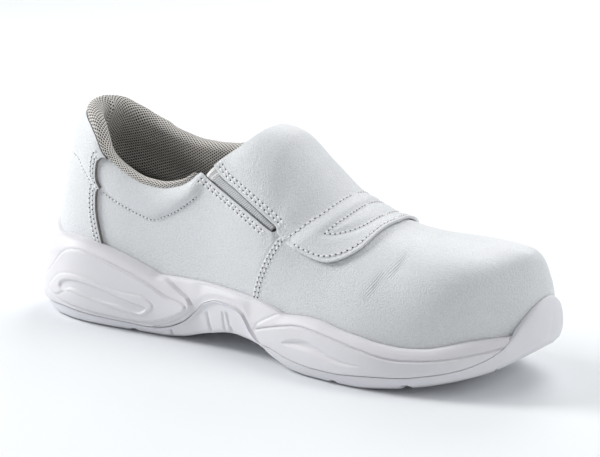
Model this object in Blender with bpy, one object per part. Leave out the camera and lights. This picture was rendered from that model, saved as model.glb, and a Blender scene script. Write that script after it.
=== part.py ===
"""Slip-on safety shoe for the right foot, as the solids of its moulded and sewn pieces.

The tables are in millimetres, measured from the back of the last and the foot's centre line, with the toe
towards +X, the outer (lateral) side towards -Y and the floor at Z 0. Points are turned into metres, with
the origin under the middle of the sole, where the meshes are made.
"""

import math
from collections import namedtuple

import bmesh
import bpy
import numpy as np

MM = 0.001
LATERAL, MEDIAL = -1, 1
RIDGE = math.pi / 2

# Driving sizes in millimetres
GAP = 0.3              # clearance between pieces that touch
SEAT = 0.5             # clearance under the sewn pieces, whose facets lie across the upper's
WALL = 2.0             # upper: leather and its backing
COUNTER = 1.4          # heel counter overlay
FLAP = 1.8             # instep flap overlay
GORE = 1.2             # elastic behind the slits
BUMPER_BACK = 2.7      # midsole wall behind the outsole's raised edge
TOE_BACK = 1.5         # the same behind the toe bumper
BED = 2.5              # midsole under the foot where the outsole rises round it
SIDE_STEP = 0.9        # relief step along the crest of the sole's side
INSOLE = 4.5           # insole at its edge
GROOVE_DEPTH = 2.5     # tread grooves
STATIONS = 42          # columns from heel to toe on each side
ROWS = 11              # points up each column above the feather line
THROAT = 0.540         # base of the column that ends where the tongue's edge meets the ridge

# Plan of the upper where it meets the sole, from the back of the heel to the toe tip
Plan = namedtuple("Plan", "x y")
LATERAL_EDGE = [
    Plan(8, 1), Plan(14, -17), Plan(32, -28.5), Plan(70, -31.5), Plan(115, -33.5), Plan(155, -41),
    Plan(190, -46.5), Plan(222, -48.5), Plan(254, -40.5), Plan(281, -21.5), Plan(295.3, 5),
]
MEDIAL_EDGE = [
    Plan(15, 18), Plan(32, 27.5), Plan(70, 30.5), Plan(115, 31), Plan(155, 37.5), Plan(192, 44.5),
    Plan(227, 47), Plan(261, 42.5), Plan(286.8, 28.4),
]

# Sections of the last by share of the edge, heel 0 to toe tip 1. The ridge is the section's top line: lead
# is how far it lies ahead of the edge, swing how far to the medial side. Fullness 2 is an ellipse.
Section = namedtuple("Section", "share floor lead swing ridge fullness")
SECTIONS = [
    Section(0.00, 24, 63, 0, 142, 2.1),
    Section(0.10, 24, 58, 0, 142, 2.4),
    Section(0.20, 23, 24, 0, 142, 2.6),
    Section(0.30, 22, 8, 1, 136, 2.4),
    Section(0.38, 20, 0, 3, 124, 2.4),
    Section(0.446, 18, 0, 4, 114.5, 2.5),
    Section(0.48, 17, 0, 5, 110.3, 2.4),
    Section(0.52, 16, 0, 6, 99.2, 2.3),
    Section(0.57, 14, 0, 6, 86, 2.3),
    Section(0.64, 13, -2, 6, 75, 2.3),
    Section(0.74, 13, -5, 6, 69, 2.5),
    Section(0.85, 17.5, -11, 4, 68, 2.9),
    Section(0.92, 24, -16, 2, 67.5, 3.0),
    Section(0.96, 27.5, -17.7, 1, 67, 3.0),
    Section(1.00, 30, -18, 0, 66.5, 3.0),
]

# Collar edge's height by share, up to the slit between quarter and tongue
Collar = namedtuple("Collar", "share lateral medial")
COLLAR_LINE = [
    Collar(0.00, 110.4, 110.4),
    Collar(0.06, 108.4, 107.9),
    Collar(0.10, 105.0, 103.1),
    Collar(0.14, 99.0, 98.9),
    Collar(0.167, 92.0, 96.9),
    Collar(0.208, 84.6, 93.3),
    Collar(0.254, 79.4, 91.0),
    Collar(0.282, 78.8, 91.0),
    Collar(0.322, 81.8, 92.0),
    Collar(0.360, 90.3, 95.0),
]

# Tongue's back edge and the ridge of the instep: the upper's columns of points start on the feather line at
# the base share and lean back to end at this share, at an angle round the section in degrees
Tongue = namedtuple("Tongue", "base share lateral medial")
TONGUE_EDGE = [
    Tongue(0.360, 0.360, 37.7, 41.7),
    Tongue(0.410, 0.396, 46.5, 48.0),
    Tongue(0.460, 0.421, 59.0, 59.5),
    Tongue(0.487, 0.433, 69.0, 69.5),
    Tongue(0.513, 0.441, 79.5, 79.5),
    Tongue(0.540, 0.446, 90.0, 90.0),
    Tongue(0.620, 0.540, 90.0, 90.0),
    Tongue(0.740, 0.700, 90.0, 90.0),
    Tongue(1.000, 1.000, 90.0, 90.0),
]

# Heights up the sole's side by share: top edge of the outsole, hollow in the side, crest of the
# side relief, and feather line where the upper enters the sole
Line = namedtuple("Line", "share part hollow_low hollow_high crest feather")
SOLE_LINES = [
    Line(0.00, 7.0, 11.5, 17.0, 27.0, 51.0),
    Line(0.05, 7.0, 11.5, 17.0, 30.0, 49.0),
    Line(0.09, 7.2, 12.0, 19.0, 35.0, 45.0),
    Line(0.12, 7.6, 12.0, 25.0, 38.0, 46.0),
    Line(0.15, 7.0, 12.0, 27.8, 41.0, 46.0),
    Line(0.19, 6.1, 12.0, 25.5, 39.3, 43.6),
    Line(0.242, 5.6, 12.6, 21.5, 35.4, 39.1),
    Line(0.28, 5.1, 13.4, 19.4, 31.6, 35.2),
    Line(0.301, 5.6, 13.2, 19.0, 29.4, 33.2),
    Line(0.32, 7.0, 13.0, 18.5, 27.2, 33.6),
    Line(0.355, 12.6, 14.8, 18.0, 22.6, 34.0),
    Line(0.375, 18.4, 20.0, 22.0, 25.0, 34.3),
    Line(0.396, 24.6, 25.8, 27.2, 29.0, 34.4),
    Line(0.425, 27.5, 28.5, 29.4, 30.6, 34.2),
    Line(0.455, 26.8, 27.9, 29.0, 30.4, 33.8),
    Line(0.475, 24.4, 25.6, 26.8, 28.3, 33.4),
    Line(0.497, 16.2, 17.4, 18.8, 20.8, 32.7),
    Line(0.518, 11.8, 13.6, 16.6, 21.4, 31.8),
    Line(0.54, 10.9, 13.2, 16.6, 22.8, 30.2),
    Line(0.556, 9.6, 12.8, 16.8, 24.2, 28.7),
    Line(0.578, 7.9, 12.4, 16.8, 25.6, 29.5),
    Line(0.60, 6.9, 11.6, 19.0, 26.2, 30.1),
    Line(0.625, 6.4, 11.2, 20.6, 26.0, 29.8),
    Line(0.65, 6.4, 11.2, 18.6, 24.6, 28.3),
    Line(0.67, 6.6, 11.2, 16.0, 23.4, 27.1),
    Line(0.695, 7.4, 11.6, 14.8, 21.9, 26.0),
    Line(0.725, 8.4, 11.8, 14.0, 19.9, 24.3),
    Line(0.77, 9.6, 12.2, 14.6, 18.8, 23.2),
    Line(0.80, 11.3, 13.4, 15.6, 19.4, 23.7),
    Line(0.825, 12.9, 14.8, 17.0, 20.4, 25.2),
    Line(0.855, 15.6, 17.2, 19.2, 21.9, 27.6),
    Line(0.88, 19.0, 20.2, 21.6, 23.6, 28.9),
    Line(0.896, 21.9, 22.6, 23.4, 24.6, 29.4),
    Line(0.914, 26.2, 26.3, 26.4, 26.6, 29.9),
    Line(0.926, 30.2, 30.2, 30.2, 30.2, 30.1),
    Line(0.94, 35.4, 35.4, 35.4, 35.4, 30.6),
    Line(0.955, 40.6, 40.6, 40.6, 40.6, 31.6),
    Line(0.972, 44.8, 44.8, 44.8, 44.8, 33.0),
    Line(0.986, 46.8, 46.8, 46.8, 46.8, 34.4),
    Line(1.00, 47.6, 47.6, 47.6, 47.6, 35.5),
]

# How far the sole stands out from the upper by share: at the ground, at the outsole's top edge, at the
# fullest height and at the rim, then the depth of the hollow
Stand = namedtuple("Stand", "share ground part full rim hollow")
SOLE_WALL = [
    Stand(0.00, 3.5, 7.5, 9.5, 3.5, 0.0),
    Stand(0.06, 4.5, 8.5, 10.5, 4.0, 0.0),
    Stand(0.10, 5.5, 9.0, 11.0, 4.5, 0.0),
    Stand(0.13, 5.5, 9.0, 11.0, 4.5, 1.6),
    Stand(0.20, 4.5, 7.5, 9.0, 4.2, 1.6),
    Stand(0.27, 3.0, 6.0, 7.5, 3.8, 1.6),
    Stand(0.305, 2.2, 5.0, 6.5, 3.5, 1.0),
    Stand(0.34, 2.4, 4.8, 5.8, 3.3, 0.0),
    Stand(0.40, 3.6, 5.2, 5.2, 3.2, 0.0),
    Stand(0.48, 3.8, 5.4, 5.4, 3.2, 0.0),
    Stand(0.53, 3.8, 6.0, 6.5, 4.0, 0.0),
    Stand(0.575, 4.0, 6.5, 7.0, 4.3, 0.6),
    Stand(0.63, 4.0, 6.8, 7.4, 4.5, 1.4),
    Stand(0.69, 4.0, 6.8, 7.2, 4.5, 0.8),
    Stand(0.735, 4.0, 6.6, 7.0, 4.5, 0.0),
    Stand(0.85, 4.0, 6.2, 6.4, 4.0, 0.0),
    Stand(0.91, 3.8, 6.0, 6.2, 3.8, 0.0),
    Stand(0.95, 3.0, 4.0, 4.2, 2.8, 0.0),
    Stand(1.00, 2.5, 3.4, 3.6, 2.6, 0.0),
]

# Ground line under the sole by distance from the heel: heel bevel, arch and toe spring
Ground = namedtuple("Ground", "x z")
GROUND_LINE = [
    Ground(-4, 4.5), Ground(6, 1.2), Ground(16, 0), Ground(88, 0), Ground(102, 2), Ground(121, 7.8),
    Ground(140, 11.5), Ground(156, 9.7), Ground(168, 4.5), Ground(180, 1.0), Ground(190, 0), Ground(216, 0),
    Ground(236, 2.0), Ground(249, 4.0), Ground(260, 6.3), Ground(270, 9.0), Ground(278, 11.6), Ground(286, 15.4),
    Ground(293, 20.4), Ground(301, 27),
]

# Tread grooves across the sole: place, width along the sole, slant of the ends, margin left at the edge
Groove = namedtuple("Groove", "x width slant margin")
GROOVES = [
    Groove(38, 4.0, 3, 9), Groove(71, 4.0, -3, -4), Groove(188, 4.0, 5, 9), Groove(211, 4.0, 5, -4),
    Groove(224, 4.0, 4, 9), Groove(248, 4.0, 3, -4), Groove(259, 4.0, -3, 9),
]

# Heel counter's front edge: share of the edge by height between feather line and collar
Front = namedtuple("Front", "up share")
COUNTER_FRONT = [
    Front(0.00, 0.187), Front(0.12, 0.180), Front(0.28, 0.171), Front(0.45, 0.1652), Front(0.555, 0.1636),
    Front(0.60, 0.1652), Front(0.645, 0.1735), Front(0.72, 0.165), Front(0.866, 0.1604), Front(0.95, 0.1665),
    Front(1.00, 0.178),
]

# Instep flap, from its tip at the slit's end (0) up to the ridge (1): sewn rear seam and free wavy edge,
# both as share of the edge and angle round the section in degrees
Flap = namedtuple("Flap", "up seam_share seam_angle wave_share wave_angle")
FLAP_EDGES = [
    Flap(0.0, 0.5315, 34.5, 0.5346, 34.1), Flap(0.2, 0.546, 42.5, 0.571, 35.7),
    Flap(0.4, 0.5615, 52.0, 0.606, 38.1), Flap(0.6, 0.576, 63.0, 0.6364, 44.2),
    Flap(0.8, 0.585, 76.0, 0.6675, 58.5), Flap(1.0, 0.5895, 90.0, 0.687, 90.0),
]

# Elastic slit in the side view, from the collar to its lower end: quarter's edge and tongue's edge
Slit = namedtuple("Slit", "quarter_x quarter_z tongue_x tongue_z")
SLIT = [
    Slit(104.5, 94, 110.5, 101), Slit(111.6, 88.6, 116.3, 94.3), Slit(117.7, 85.4, 122.5, 89.3),
    Slit(127.3, 81.1, 131.7, 85.1), Slit(137.2, 76.9, 141.1, 80.5), Slit(147.2, 72.6, 149.8, 75.5),
    Slit(156.9, 68.3, 158.2, 70.2),
]
GORE_MARGIN = 4.0      # elastic sewn behind the leather beyond the slit

# Padded collar's section: out from the leather's outer face and up from its edge
Roll = namedtuple("Roll", "out up")
COLLAR_ROLL = [
    Roll(0.3, 0.4), Roll(1.0, 1.8), Roll(0.4, 3.8), Roll(-1.6, 5.0), Roll(-4.4, 4.6), Roll(-6.6, 2.4),
    Roll(-7.6, -2), Roll(-7.6, -9), Roll(-6.4, -19), Roll(-4.6, -30), Roll(-2.7, -30.5),
    Roll(-2.7, -20), Roll(-2.7, -9), Roll(-2.7, 0.4),
]
BUMPER_START = 0.924   # share where the outsole's edge rises past the midsole
COLLAR_END = 0.340     # share where the padded collar stops, short of the slits


def smooth_column(rows, key, name):
    """Function of one table column: a monotone cubic, so it never swings past a row."""
    x = np.array([getattr(row, key) for row in rows], float)
    y = np.array([getattr(row, name) for row in rows], float)
    step = np.diff(x)
    rate = np.diff(y) / step
    slope = np.zeros_like(y)
    slope[0], slope[-1] = rate[0], rate[-1]
    for k in range(1, len(x) - 1):
        if rate[k - 1] * rate[k] > 0:
            near, far = 2 * step[k] + step[k - 1], step[k] + 2 * step[k - 1]
            slope[k] = (near + far) / (near / rate[k - 1] + far / rate[k])

    def value(at):
        at = np.clip(np.asarray(at, float), x[0], x[-1])
        k = np.clip(np.searchsorted(x, at, side="right") - 1, 0, len(step) - 1)
        t = (at - x[k]) / step[k]
        rise = (3 - 2 * t) * t * t
        start = t * (1 - t) ** 2 * step[k] * slope[k]
        end = t * t * (t - 1) * step[k] * slope[k + 1]
        return y[k] + (y[k + 1] - y[k]) * rise + start + end

    return value


def columns(rows, key):
    """Functions of all a table's columns but its key, in their order."""
    return [smooth_column(rows, key, name) for name in rows[0]._fields if name != key]


floor_at, lead_at, swing_at, ridge_at, fullness_at = columns(SECTIONS, "share")
collar_lateral, collar_medial = columns(COLLAR_LINE, "share")
lean_at, tongue_lateral, tongue_medial = columns(TONGUE_EDGE, "base")
part_at, hollow_low_at, hollow_high_at, crest_at, feather_at = columns(SOLE_LINES, "share")
ground_out, part_out, full_out, rim_out, hollow_depth = columns(SOLE_WALL, "share")
(ground_at,) = columns(GROUND_LINE, "x")
(counter_front,) = columns(COUNTER_FRONT, "up")
flap_columns = columns(FLAP_EDGES, "up")


def closed_spline(points, samples):
    """Periodic cubic spline through plan points, as one list of samples for each span."""
    p = np.array(points, float)
    h = np.linalg.norm(np.roll(p, -1, 0) - p, axis=1)
    before = np.roll(h, 1)
    count = len(p)
    system = np.zeros((count, count))
    for k in range(count):
        system[k, k - 1] += before[k]
        system[k, k] += 2 * (before[k] + h[k])
        system[k, (k + 1) % count] += h[k]
    rate = (np.roll(p, -1, 0) - p) / h[:, None]
    bend = np.linalg.solve(system, 6 * (rate - np.roll(rate, 1, 0)))
    spans = []
    for k in range(count):
        n = (k + 1) % count
        t = np.linspace(0, h[k], samples, endpoint=False)[:, None]
        u = h[k] - t
        spans.append(
            (bend[k] * u**3 + bend[n] * t**3) / (6 * h[k])
            + (p[k] / h[k] - bend[k] * h[k] / 6) * u
            + (p[n] / h[k] - bend[n] * h[k] / 6) * t
        )
    return spans


def side_edges():
    """Each side's plan edge, heel to toe, as samples: share, x, y, outward x, outward y."""
    spans = closed_spline(LATERAL_EDGE + MEDIAL_EDGE[::-1], 40)
    turn = len(LATERAL_EDGE) - 1
    lateral = np.vstack(spans[:turn] + [spans[turn][:1]])
    medial = np.vstack(spans[turn:] + [spans[0][:1]])[::-1]
    edges = {}
    for side, line in ((LATERAL, lateral), (MEDIAL, medial)):
        length = np.r_[0, np.cumsum(np.linalg.norm(np.diff(line, axis=0), axis=1))]
        along = np.gradient(line, axis=0)
        along[0], along[-1] = (0, side), (0, -side)
        along /= np.linalg.norm(along, axis=1)[:, None]
        edges[side] = (length / length[-1], *line.T, -along[:, 1] * side, along[:, 0] * side)
    return edges


EDGES = side_edges()


def edge_point(side, share):
    shares, x, y, _, _ = EDGES[side]
    return np.interp(share, shares, x), np.interp(share, shares, y)


def edge_outward(side, share):
    shares, _, _, out_x, out_y = EDGES[side]
    return np.interp(share, shares, out_x), np.interp(share, shares, out_y)


def collar_at(side, share):
    return collar_lateral(share) if side == LATERAL else collar_medial(share)


def rise_angle(share, z):
    """Angle round the section at a height: 0 at the insole board, a quarter turn at the ridge."""
    low = floor_at(share)
    height = np.clip((z - low) / (ridge_at(share) - low), 0, 1)
    return np.arcsin(height ** (fullness_at(share) / 2))


def section_point(side, share, angle):
    """Point of the upper's outer surface."""
    x, y = edge_point(side, share)
    other_x, other_y = edge_point(-side, share)
    ridge_x = (x + other_x) / 2 + lead_at(share)
    ridge_y = (y + other_y) / 2 + swing_at(share)
    power = 2 / fullness_at(share)
    inward = 1 - np.clip(np.cos(angle), 0, 1) ** power
    upward = np.clip(np.sin(angle), 0, 1) ** power
    low = floor_at(share)
    return np.stack(
        [x + (ridge_x - x) * inward, y + (ridge_y - y) * inward, low + (ridge_at(share) - low) * upward],
        axis=-1,
    )


def skin(side, share, angle, out=0.0):
    """Point at a distance outside the upper's surface, square to it, and upright on the centre line."""
    share, angle, out = np.broadcast_arrays(*(np.asarray(v, float) for v in (share, angle, out)))
    ds, da = 0.004, 0.01
    s0, s1 = np.clip(share - ds, 0, 1), np.clip(share + ds, 0, 1)
    a0, a1 = np.clip(angle - da, 0, RIDGE), np.clip(angle + da, 0, RIDGE)
    along = section_point(side, s1, angle) - section_point(side, s0, angle)
    up = section_point(side, share, a1) - section_point(side, share, a0)
    normal = np.cross(along, up) * -side
    ends = (share <= 0) | (share >= 1)
    slope = np.where(ends[..., None], up, along) * np.where(share >= 1, -1, 1)[..., None]
    upright = np.stack([-slope[..., 2], np.zeros_like(share), slope[..., 0]], axis=-1)
    normal = np.where((ends | (angle >= RIDGE))[..., None], upright, normal)
    normal /= np.linalg.norm(normal, axis=-1)[..., None]
    return section_point(side, share, angle) + normal * out[..., None]


def wall_point(side, share, z, out):
    """Point at a height and a level distance outside the upper's surface."""
    point = section_point(side, share, rise_angle(share, z))
    out_x, out_y = edge_outward(side, share)
    return np.array([point[0] + out_x * out, point[1] + out_y * out, z])


def side_view(side, x, z):
    """Share of the edge at which the upper's surface passes a point of the side view."""
    shares, edge_x, _, _, _ = EDGES[side]
    share = np.interp(x, edge_x, shares)
    for _ in range(12):
        share = share + (x - section_point(side, share, rise_angle(share, z))[..., 0]) / 330.0
    return share


def station_shares():
    """Sections stand closer at heel, toe and throat, where the form turns most."""
    share = np.linspace(0, 1, 2001)
    density = 1 + 0.6 * np.cos(math.pi * share) ** 8 + 0.5 * np.exp(-(((share - 0.46) / 0.09) ** 2))
    length = np.r_[0, np.cumsum((density[1:] + density[:-1]) / 2)]
    stations = np.interp(np.linspace(0, length[-1], STATIONS + 1), length, share)
    for mark in (COLLAR_END, COLLAR_LINE[-1].share, THROAT, BUMPER_START):
        stations[np.argmin(abs(stations - mark))] = mark
    return stations


SHARES = station_shares()


def ring(point_at):
    """Closed loop of points: heel centre, lateral side to the toe tip, and back along the medial side."""
    lateral = [point_at(LATERAL, s) for s in SHARES]
    medial = [point_at(MEDIAL, s) for s in SHARES[1:-1]]
    return np.array(lateral + medial[::-1], float)


def wall_ring(height, out):
    return ring(lambda side, s: wall_point(side, s, height(side, s), out(side, s)))


def ground_z(side, share, out):
    """Height of the ground line under a point at a level distance outside the edge."""
    return float(ground_at(edge_point(side, share)[0] + edge_outward(side, share)[0] * out))


def bed_at(share):
    """Height of the joint between outsole and midsole inside their edge: it dives at the arch and toe."""
    return min(part_at(share), floor_at(share) - BED)


def toe_share(share):
    """How far along the toe bumper a section is: 0 where it starts, 1 round the tip."""
    return float(np.clip((share - 0.90) / 0.08, 0, 1))


def back_at(share):
    """How far the midsole's wall stands out behind the outsole's raised edge: less at the toe."""
    return BUMPER_BACK + (TOE_BACK - BUMPER_BACK) * toe_share(share)


def outsole_rings():
    """Loops of the outsole from its tread round its edge to the bed of the midsole."""

    def top(side, s):
        return part_at(s) - GAP / 2

    def bumper(s):
        return part_at(s) > feather_at(s) + 6.0

    def shelf(side, s):
        return max(feather_at(s) + GAP, 0) if bumper(s) else top(side, s)

    def bed(side, s):
        return bed_at(s) - GAP / 2

    def hug(side, s):
        return GAP if bumper(s) else tuck(side, s)

    def tuck(side, s):
        return min(back_at(s) + GAP, part_out(s) - 1)

    def crown(s):
        return 1.3 * toe_share(s)

    def tread(s):
        return ground_out(s) - 2.0 - 2.9 * toe_share(s)

    def edge(side, s):
        return ground_z(side, s, ground_out(s)) + 1.2

    def between(up):
        def height(side, s):
            low = edge(side, s)
            return low + (top(side, s) - low) * up

        def out(side, s):
            return ground_out(s) + (part_out(s) - ground_out(s)) * up**0.6 + crown(s) * math.sin(math.pi * up)

        return height, out

    return [
        wall_ring(lambda side, s: ground_z(side, s, tread(s)), lambda side, s: tread(s)),
        wall_ring(edge, lambda side, s: ground_out(s)),
        wall_ring(*between(0.35)),
        wall_ring(*between(0.75)),
        wall_ring(top, lambda side, s: part_out(s) - crown(s)),
        wall_ring(top, hug),
        wall_ring(shelf, hug),
        wall_ring(shelf, tuck),
        wall_ring(bed, tuck),
    ]


def midsole_rings():
    """Loops of the midsole from the joint with the outsole, up its side, over the rim and into the tray."""

    def foot(s):
        return min(part_at(s) + GAP / 2, feather_at(s))

    def hidden(s):
        return part_at(s) + 1.5 > feather_at(s)

    def height(z_at, shift=0.0):
        def value(side, s):
            if hidden(s):
                return foot(s)
            half = min(1.0, 0.15 * (crest_at(s) - part_at(s)))
            return float(np.clip(z_at(s) + shift * half, foot(s), feather_at(s)))
        return value

    def rim(side, s):
        return feather_at(s)

    def out(out_at):
        return lambda side, s: back_at(s) if hidden(s) else float(out_at(s))

    def tuck(side, s):
        return min(back_at(s), float(part_out(s)) - 1 - GAP)

    def hollow(s):
        return full_out(s) - hollow_depth(s)

    def band(s):
        return (full_out(s) + rim_out(s)) / 2 + 1.0

    def tray(up):
        return lambda side, s: floor_at(s) + (feather_at(s) - floor_at(s)) * up

    def lip(side, s):
        return GAP

    return [
        wall_ring(lambda side, s: bed_at(s) + GAP / 2, tuck),
        wall_ring(lambda side, s: foot(s), tuck),
        wall_ring(lambda side, s: foot(s), out(part_out)),
        wall_ring(height(hollow_low_at, -0.7), out(full_out)),
        wall_ring(height(hollow_low_at, 0.7), out(hollow)),
        wall_ring(height(hollow_high_at, -0.7), out(hollow)),
        wall_ring(height(hollow_high_at, 0.7), out(full_out)),
        wall_ring(height(crest_at, -0.5), out(lambda s: band(s) + SIDE_STEP)),
        wall_ring(height(crest_at, 0.5), out(band)),
        wall_ring(height(lambda s: feather_at(s) - 1.6), out(rim_out)),
        wall_ring(rim, out(lambda s: rim_out(s) - 1.6)),
        wall_ring(rim, lip),
        wall_ring(tray(0.5), lip),
        wall_ring(tray(0.0), lip),
    ]


def insole_rings():
    """Loops of the insole, dished inside its edge."""

    def inside(by):
        return lambda side, s: -WALL - by

    return [
        wall_ring(lambda side, s: floor_at(s) + GAP, inside(0.6)),
        wall_ring(lambda side, s: floor_at(s) + INSOLE, inside(0.6)),
        wall_ring(lambda side, s: floor_at(s) + INSOLE - 1.0, inside(9.0)),
    ]


def sole_centre(*solids):
    """Middle of the sole's plan, which is the part's origin."""
    points = np.vstack([np.vstack(rings) for rings in solids])
    return (points.min(axis=0) + points.max(axis=0)) / 2


CENTRE_X, CENTRE_Y, _ = sole_centre(outsole_rings(), midsole_rings())


def metres(points):
    return (np.asarray(points, float) - (CENTRE_X, CENTRE_Y, 0)) * MM


def make_material(name, colour, roughness):
    material = bpy.data.materials.new(name)
    material.use_nodes = True
    shader = material.node_tree.nodes["Principled BSDF"]
    shader.inputs["Base Color"].default_value = (*colour, 1)
    shader.inputs["Roughness"].default_value = roughness
    shader.inputs["Metallic"].default_value = 0
    return material


def add_object(name, bm, material=None):
    """Closes the mesh up, points its faces outwards and links it as a named object."""
    bmesh.ops.remove_doubles(bm, verts=bm.verts, dist=2e-6)
    bmesh.ops.dissolve_degenerate(bm, edges=bm.edges, dist=2e-6)
    bmesh.ops.recalc_face_normals(bm, faces=bm.faces)
    bmesh.ops.triangulate(bm, faces=bm.faces, quad_method="SHORT_EDGE")
    mesh = bpy.data.meshes.new(name)
    bm.to_mesh(mesh)
    bm.free()
    mesh.shade_smooth()
    mesh.set_sharp_from_angle(angle=math.radians(40))
    made = bpy.data.objects.new(name, mesh)
    bpy.context.scene.collection.objects.link(made)
    if material:
        mesh.materials.append(material)
    else:
        made.hide_render = True
        made.display_type = "WIRE"
    return made


def cut(target, cutter):
    boolean = target.modifiers.new(cutter.name, "BOOLEAN")
    boolean.operation = "DIFFERENCE"
    boolean.object = cutter


def add_row(bm, points):
    return [bm.verts.new(p) for p in metres(points)]


def add_face(bm, corners):
    corners = [v for k, v in enumerate(corners) if v not in corners[:k]]
    if len(corners) > 2:
        bm.faces.new(corners)


def bridge(bm, first, second, closed=True):
    """Quads between two rows of vertices."""
    count = len(first)
    for k in range(count if closed else count - 1):
        n = (k + 1) % count
        add_face(bm, [first[k], first[n], second[n], second[k]])


def ladder(bm, loop):
    """Rungs across a closed loop, from each lateral station to its medial one."""
    for k in range(STATIONS):
        add_face(bm, [loop[k], loop[k + 1], loop[-k - 1], loop[-k % len(loop)]])


def stacked_solid(name, rings, material):
    """Solid whose skin runs through closed loops, with rungs across the first and the last."""
    bm = bmesh.new()
    loops = [add_row(bm, points) for points in rings]
    for low, high in zip(loops, loops[1:]):
        bridge(bm, low, high)
    ladder(bm, loops[0])
    ladder(bm, loops[-1])
    return add_object(name, bm, material)


def patch_solid(name, inner, outer, material=None):
    """Slab between two grids of points, rows by columns, that follow the upper."""
    bm = bmesh.new()
    faces = [[add_row(bm, row) for row in grid] for grid in (inner, outer)]
    for rows in faces:
        for low, high in zip(rows, rows[1:]):
            bridge(bm, low, high, closed=False)

    def border(rows):
        right = [row[-1] for row in rows[1:-1]]
        left = [row[0] for row in rows[1:-1]]
        return rows[0] + right + rows[-1][::-1] + left[::-1]

    bridge(bm, border(faces[0]), border(faces[1]))
    return add_object(name, bm, material)


def column_end(side, base):
    """Share and angle where a column ends: at the collar, at the tongue's edge or on the ridge."""
    if base < COLLAR_LINE[-1].share:
        return base, float(rise_angle(base, collar_at(side, base)))
    tongue = tongue_lateral if side == LATERAL else tongue_medial
    return float(lean_at(base)), min(RIDGE, math.radians(float(tongue(base))))


def column(side, base):
    """Shares and angles of a column's points: two rows inside the sole's tray, then up to its end."""
    low, feather = floor_at(base), feather_at(base)
    share, angle = column_end(side, base)
    up = np.linspace(0, 1, ROWS)
    start = rise_angle(base, feather)
    tray = [float(rise_angle(base, low + GAP)), float(rise_angle(base, (low + feather) / 2))]
    return np.r_[base, base, base + (share - base) * up], np.r_[tray, start + (angle - start) * up]


def upper_surface(bm, out):
    """Vertices of one surface of the upper, a column for each point of the ring."""
    tops = {}
    made = []
    loop = [(LATERAL, k) for k in range(STATIONS + 1)] + [(MEDIAL, k) for k in range(STATIONS - 1, 0, -1)]
    for side, k in loop:
        points = add_row(bm, skin(side, *column(side, SHARES[k]), out))
        if SHARES[k] >= THROAT:
            shared = tops.setdefault(k, points[-1])
            if shared is not points[-1]:
                bm.verts.remove(points.pop())
                points.append(shared)
        made.append(points)
    return made


def build_upper(material):
    bm = bmesh.new()
    outer, inner = upper_surface(bm, 0.0), upper_surface(bm, -WALL)
    for surface in (outer, inner):
        for first, second in zip(surface, surface[1:] + surface[:1]):
            bridge(bm, first, second, closed=False)
    bridge(bm, [c[0] for c in outer], [c[0] for c in inner])
    throat = int(np.searchsorted(SHARES, THROAT))
    order = list(range(throat + 1)) + list(range(len(outer) - throat + 1, len(outer)))
    bridge(bm, [outer[k][-1] for k in order], [inner[k][-1] for k in order])
    return add_object("upper", bm, material)


def slit_grid(side, out, margin=0.0, first=0):
    """Grid over the elastic slit, quarter's edge to tongue's edge, widened by a margin."""
    rows = []
    for slit in SLIT[first:]:
        quarter = np.array([slit.quarter_x, slit.quarter_z], float)
        tongue = np.array([slit.tongue_x, slit.tongue_z], float)
        across = (tongue - quarter) / np.linalg.norm(tongue - quarter)
        x, z = np.linspace(quarter - across * margin, tongue + across * margin, 3).T
        share = side_view(side, x, z)
        rows.append(skin(side, share, rise_angle(share, z), out))
    return rows


def build_gores(upper, material):
    for name, side in (("lateral", LATERAL), ("medial", MEDIAL)):
        slit = patch_solid(f"slit_{name}", slit_grid(side, -WALL - 3), slit_grid(side, 4.0))
        cut(upper, slit)
        behind = -WALL - SEAT
        patch_solid(
            f"gore_{name}",
            slit_grid(side, behind - GORE, GORE_MARGIN, 1),
            slit_grid(side, behind, GORE_MARGIN, 1),
            material,
        )


def counter_grid(out):
    rows = []
    for up in [row.up for row in COUNTER_FRONT]:
        row = []
        for across in np.linspace(-1, 1, 27):
            side = MEDIAL if across > 0 else LATERAL
            share = abs(across) * counter_front(up)
            low, high = feather_at(share) + 0.5, collar_at(side, share) - 0.5
            row.append(skin(side, share, rise_angle(share, low + (high - low) * up), out))
        rows.append(row)
    return rows


def flap_grid(out):
    rows = []
    for across in np.linspace(-1, 1, 25):
        side = MEDIAL if across > 0 else LATERAL
        seam_share, seam_angle, wave_share, wave_angle = (f(1 - abs(across)) for f in flap_columns)
        along = np.linspace(0, 1, 6)
        share = seam_share + (wave_share - seam_share) * along
        angle = np.radians(seam_angle + (wave_angle - seam_angle) * along)
        rows.append(skin(side, share, angle, out))
    return rows


def build_collar(material):
    """Padded collar, swept round the topline from slit to slit."""
    bm = bmesh.new()
    stations = [s for s in SHARES if s <= COLLAR_END]
    route = [(LATERAL, s) for s in stations[::-1]] + [(MEDIAL, s) for s in stations[1:]]
    loops = []
    for side, share in route:
        z = np.array([collar_at(side, share) + roll.up for roll in COLLAR_ROLL])
        out = np.array([roll.out for roll in COLLAR_ROLL])
        loops.append(add_row(bm, skin(side, share, rise_angle(share, z), out)))
    for first, second in zip(loops, loops[1:]):
        bridge(bm, first, second)
    bm.faces.new(loops[0])
    bm.faces.new(loops[-1])
    return add_object("collar_lining", bm, material)


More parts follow.
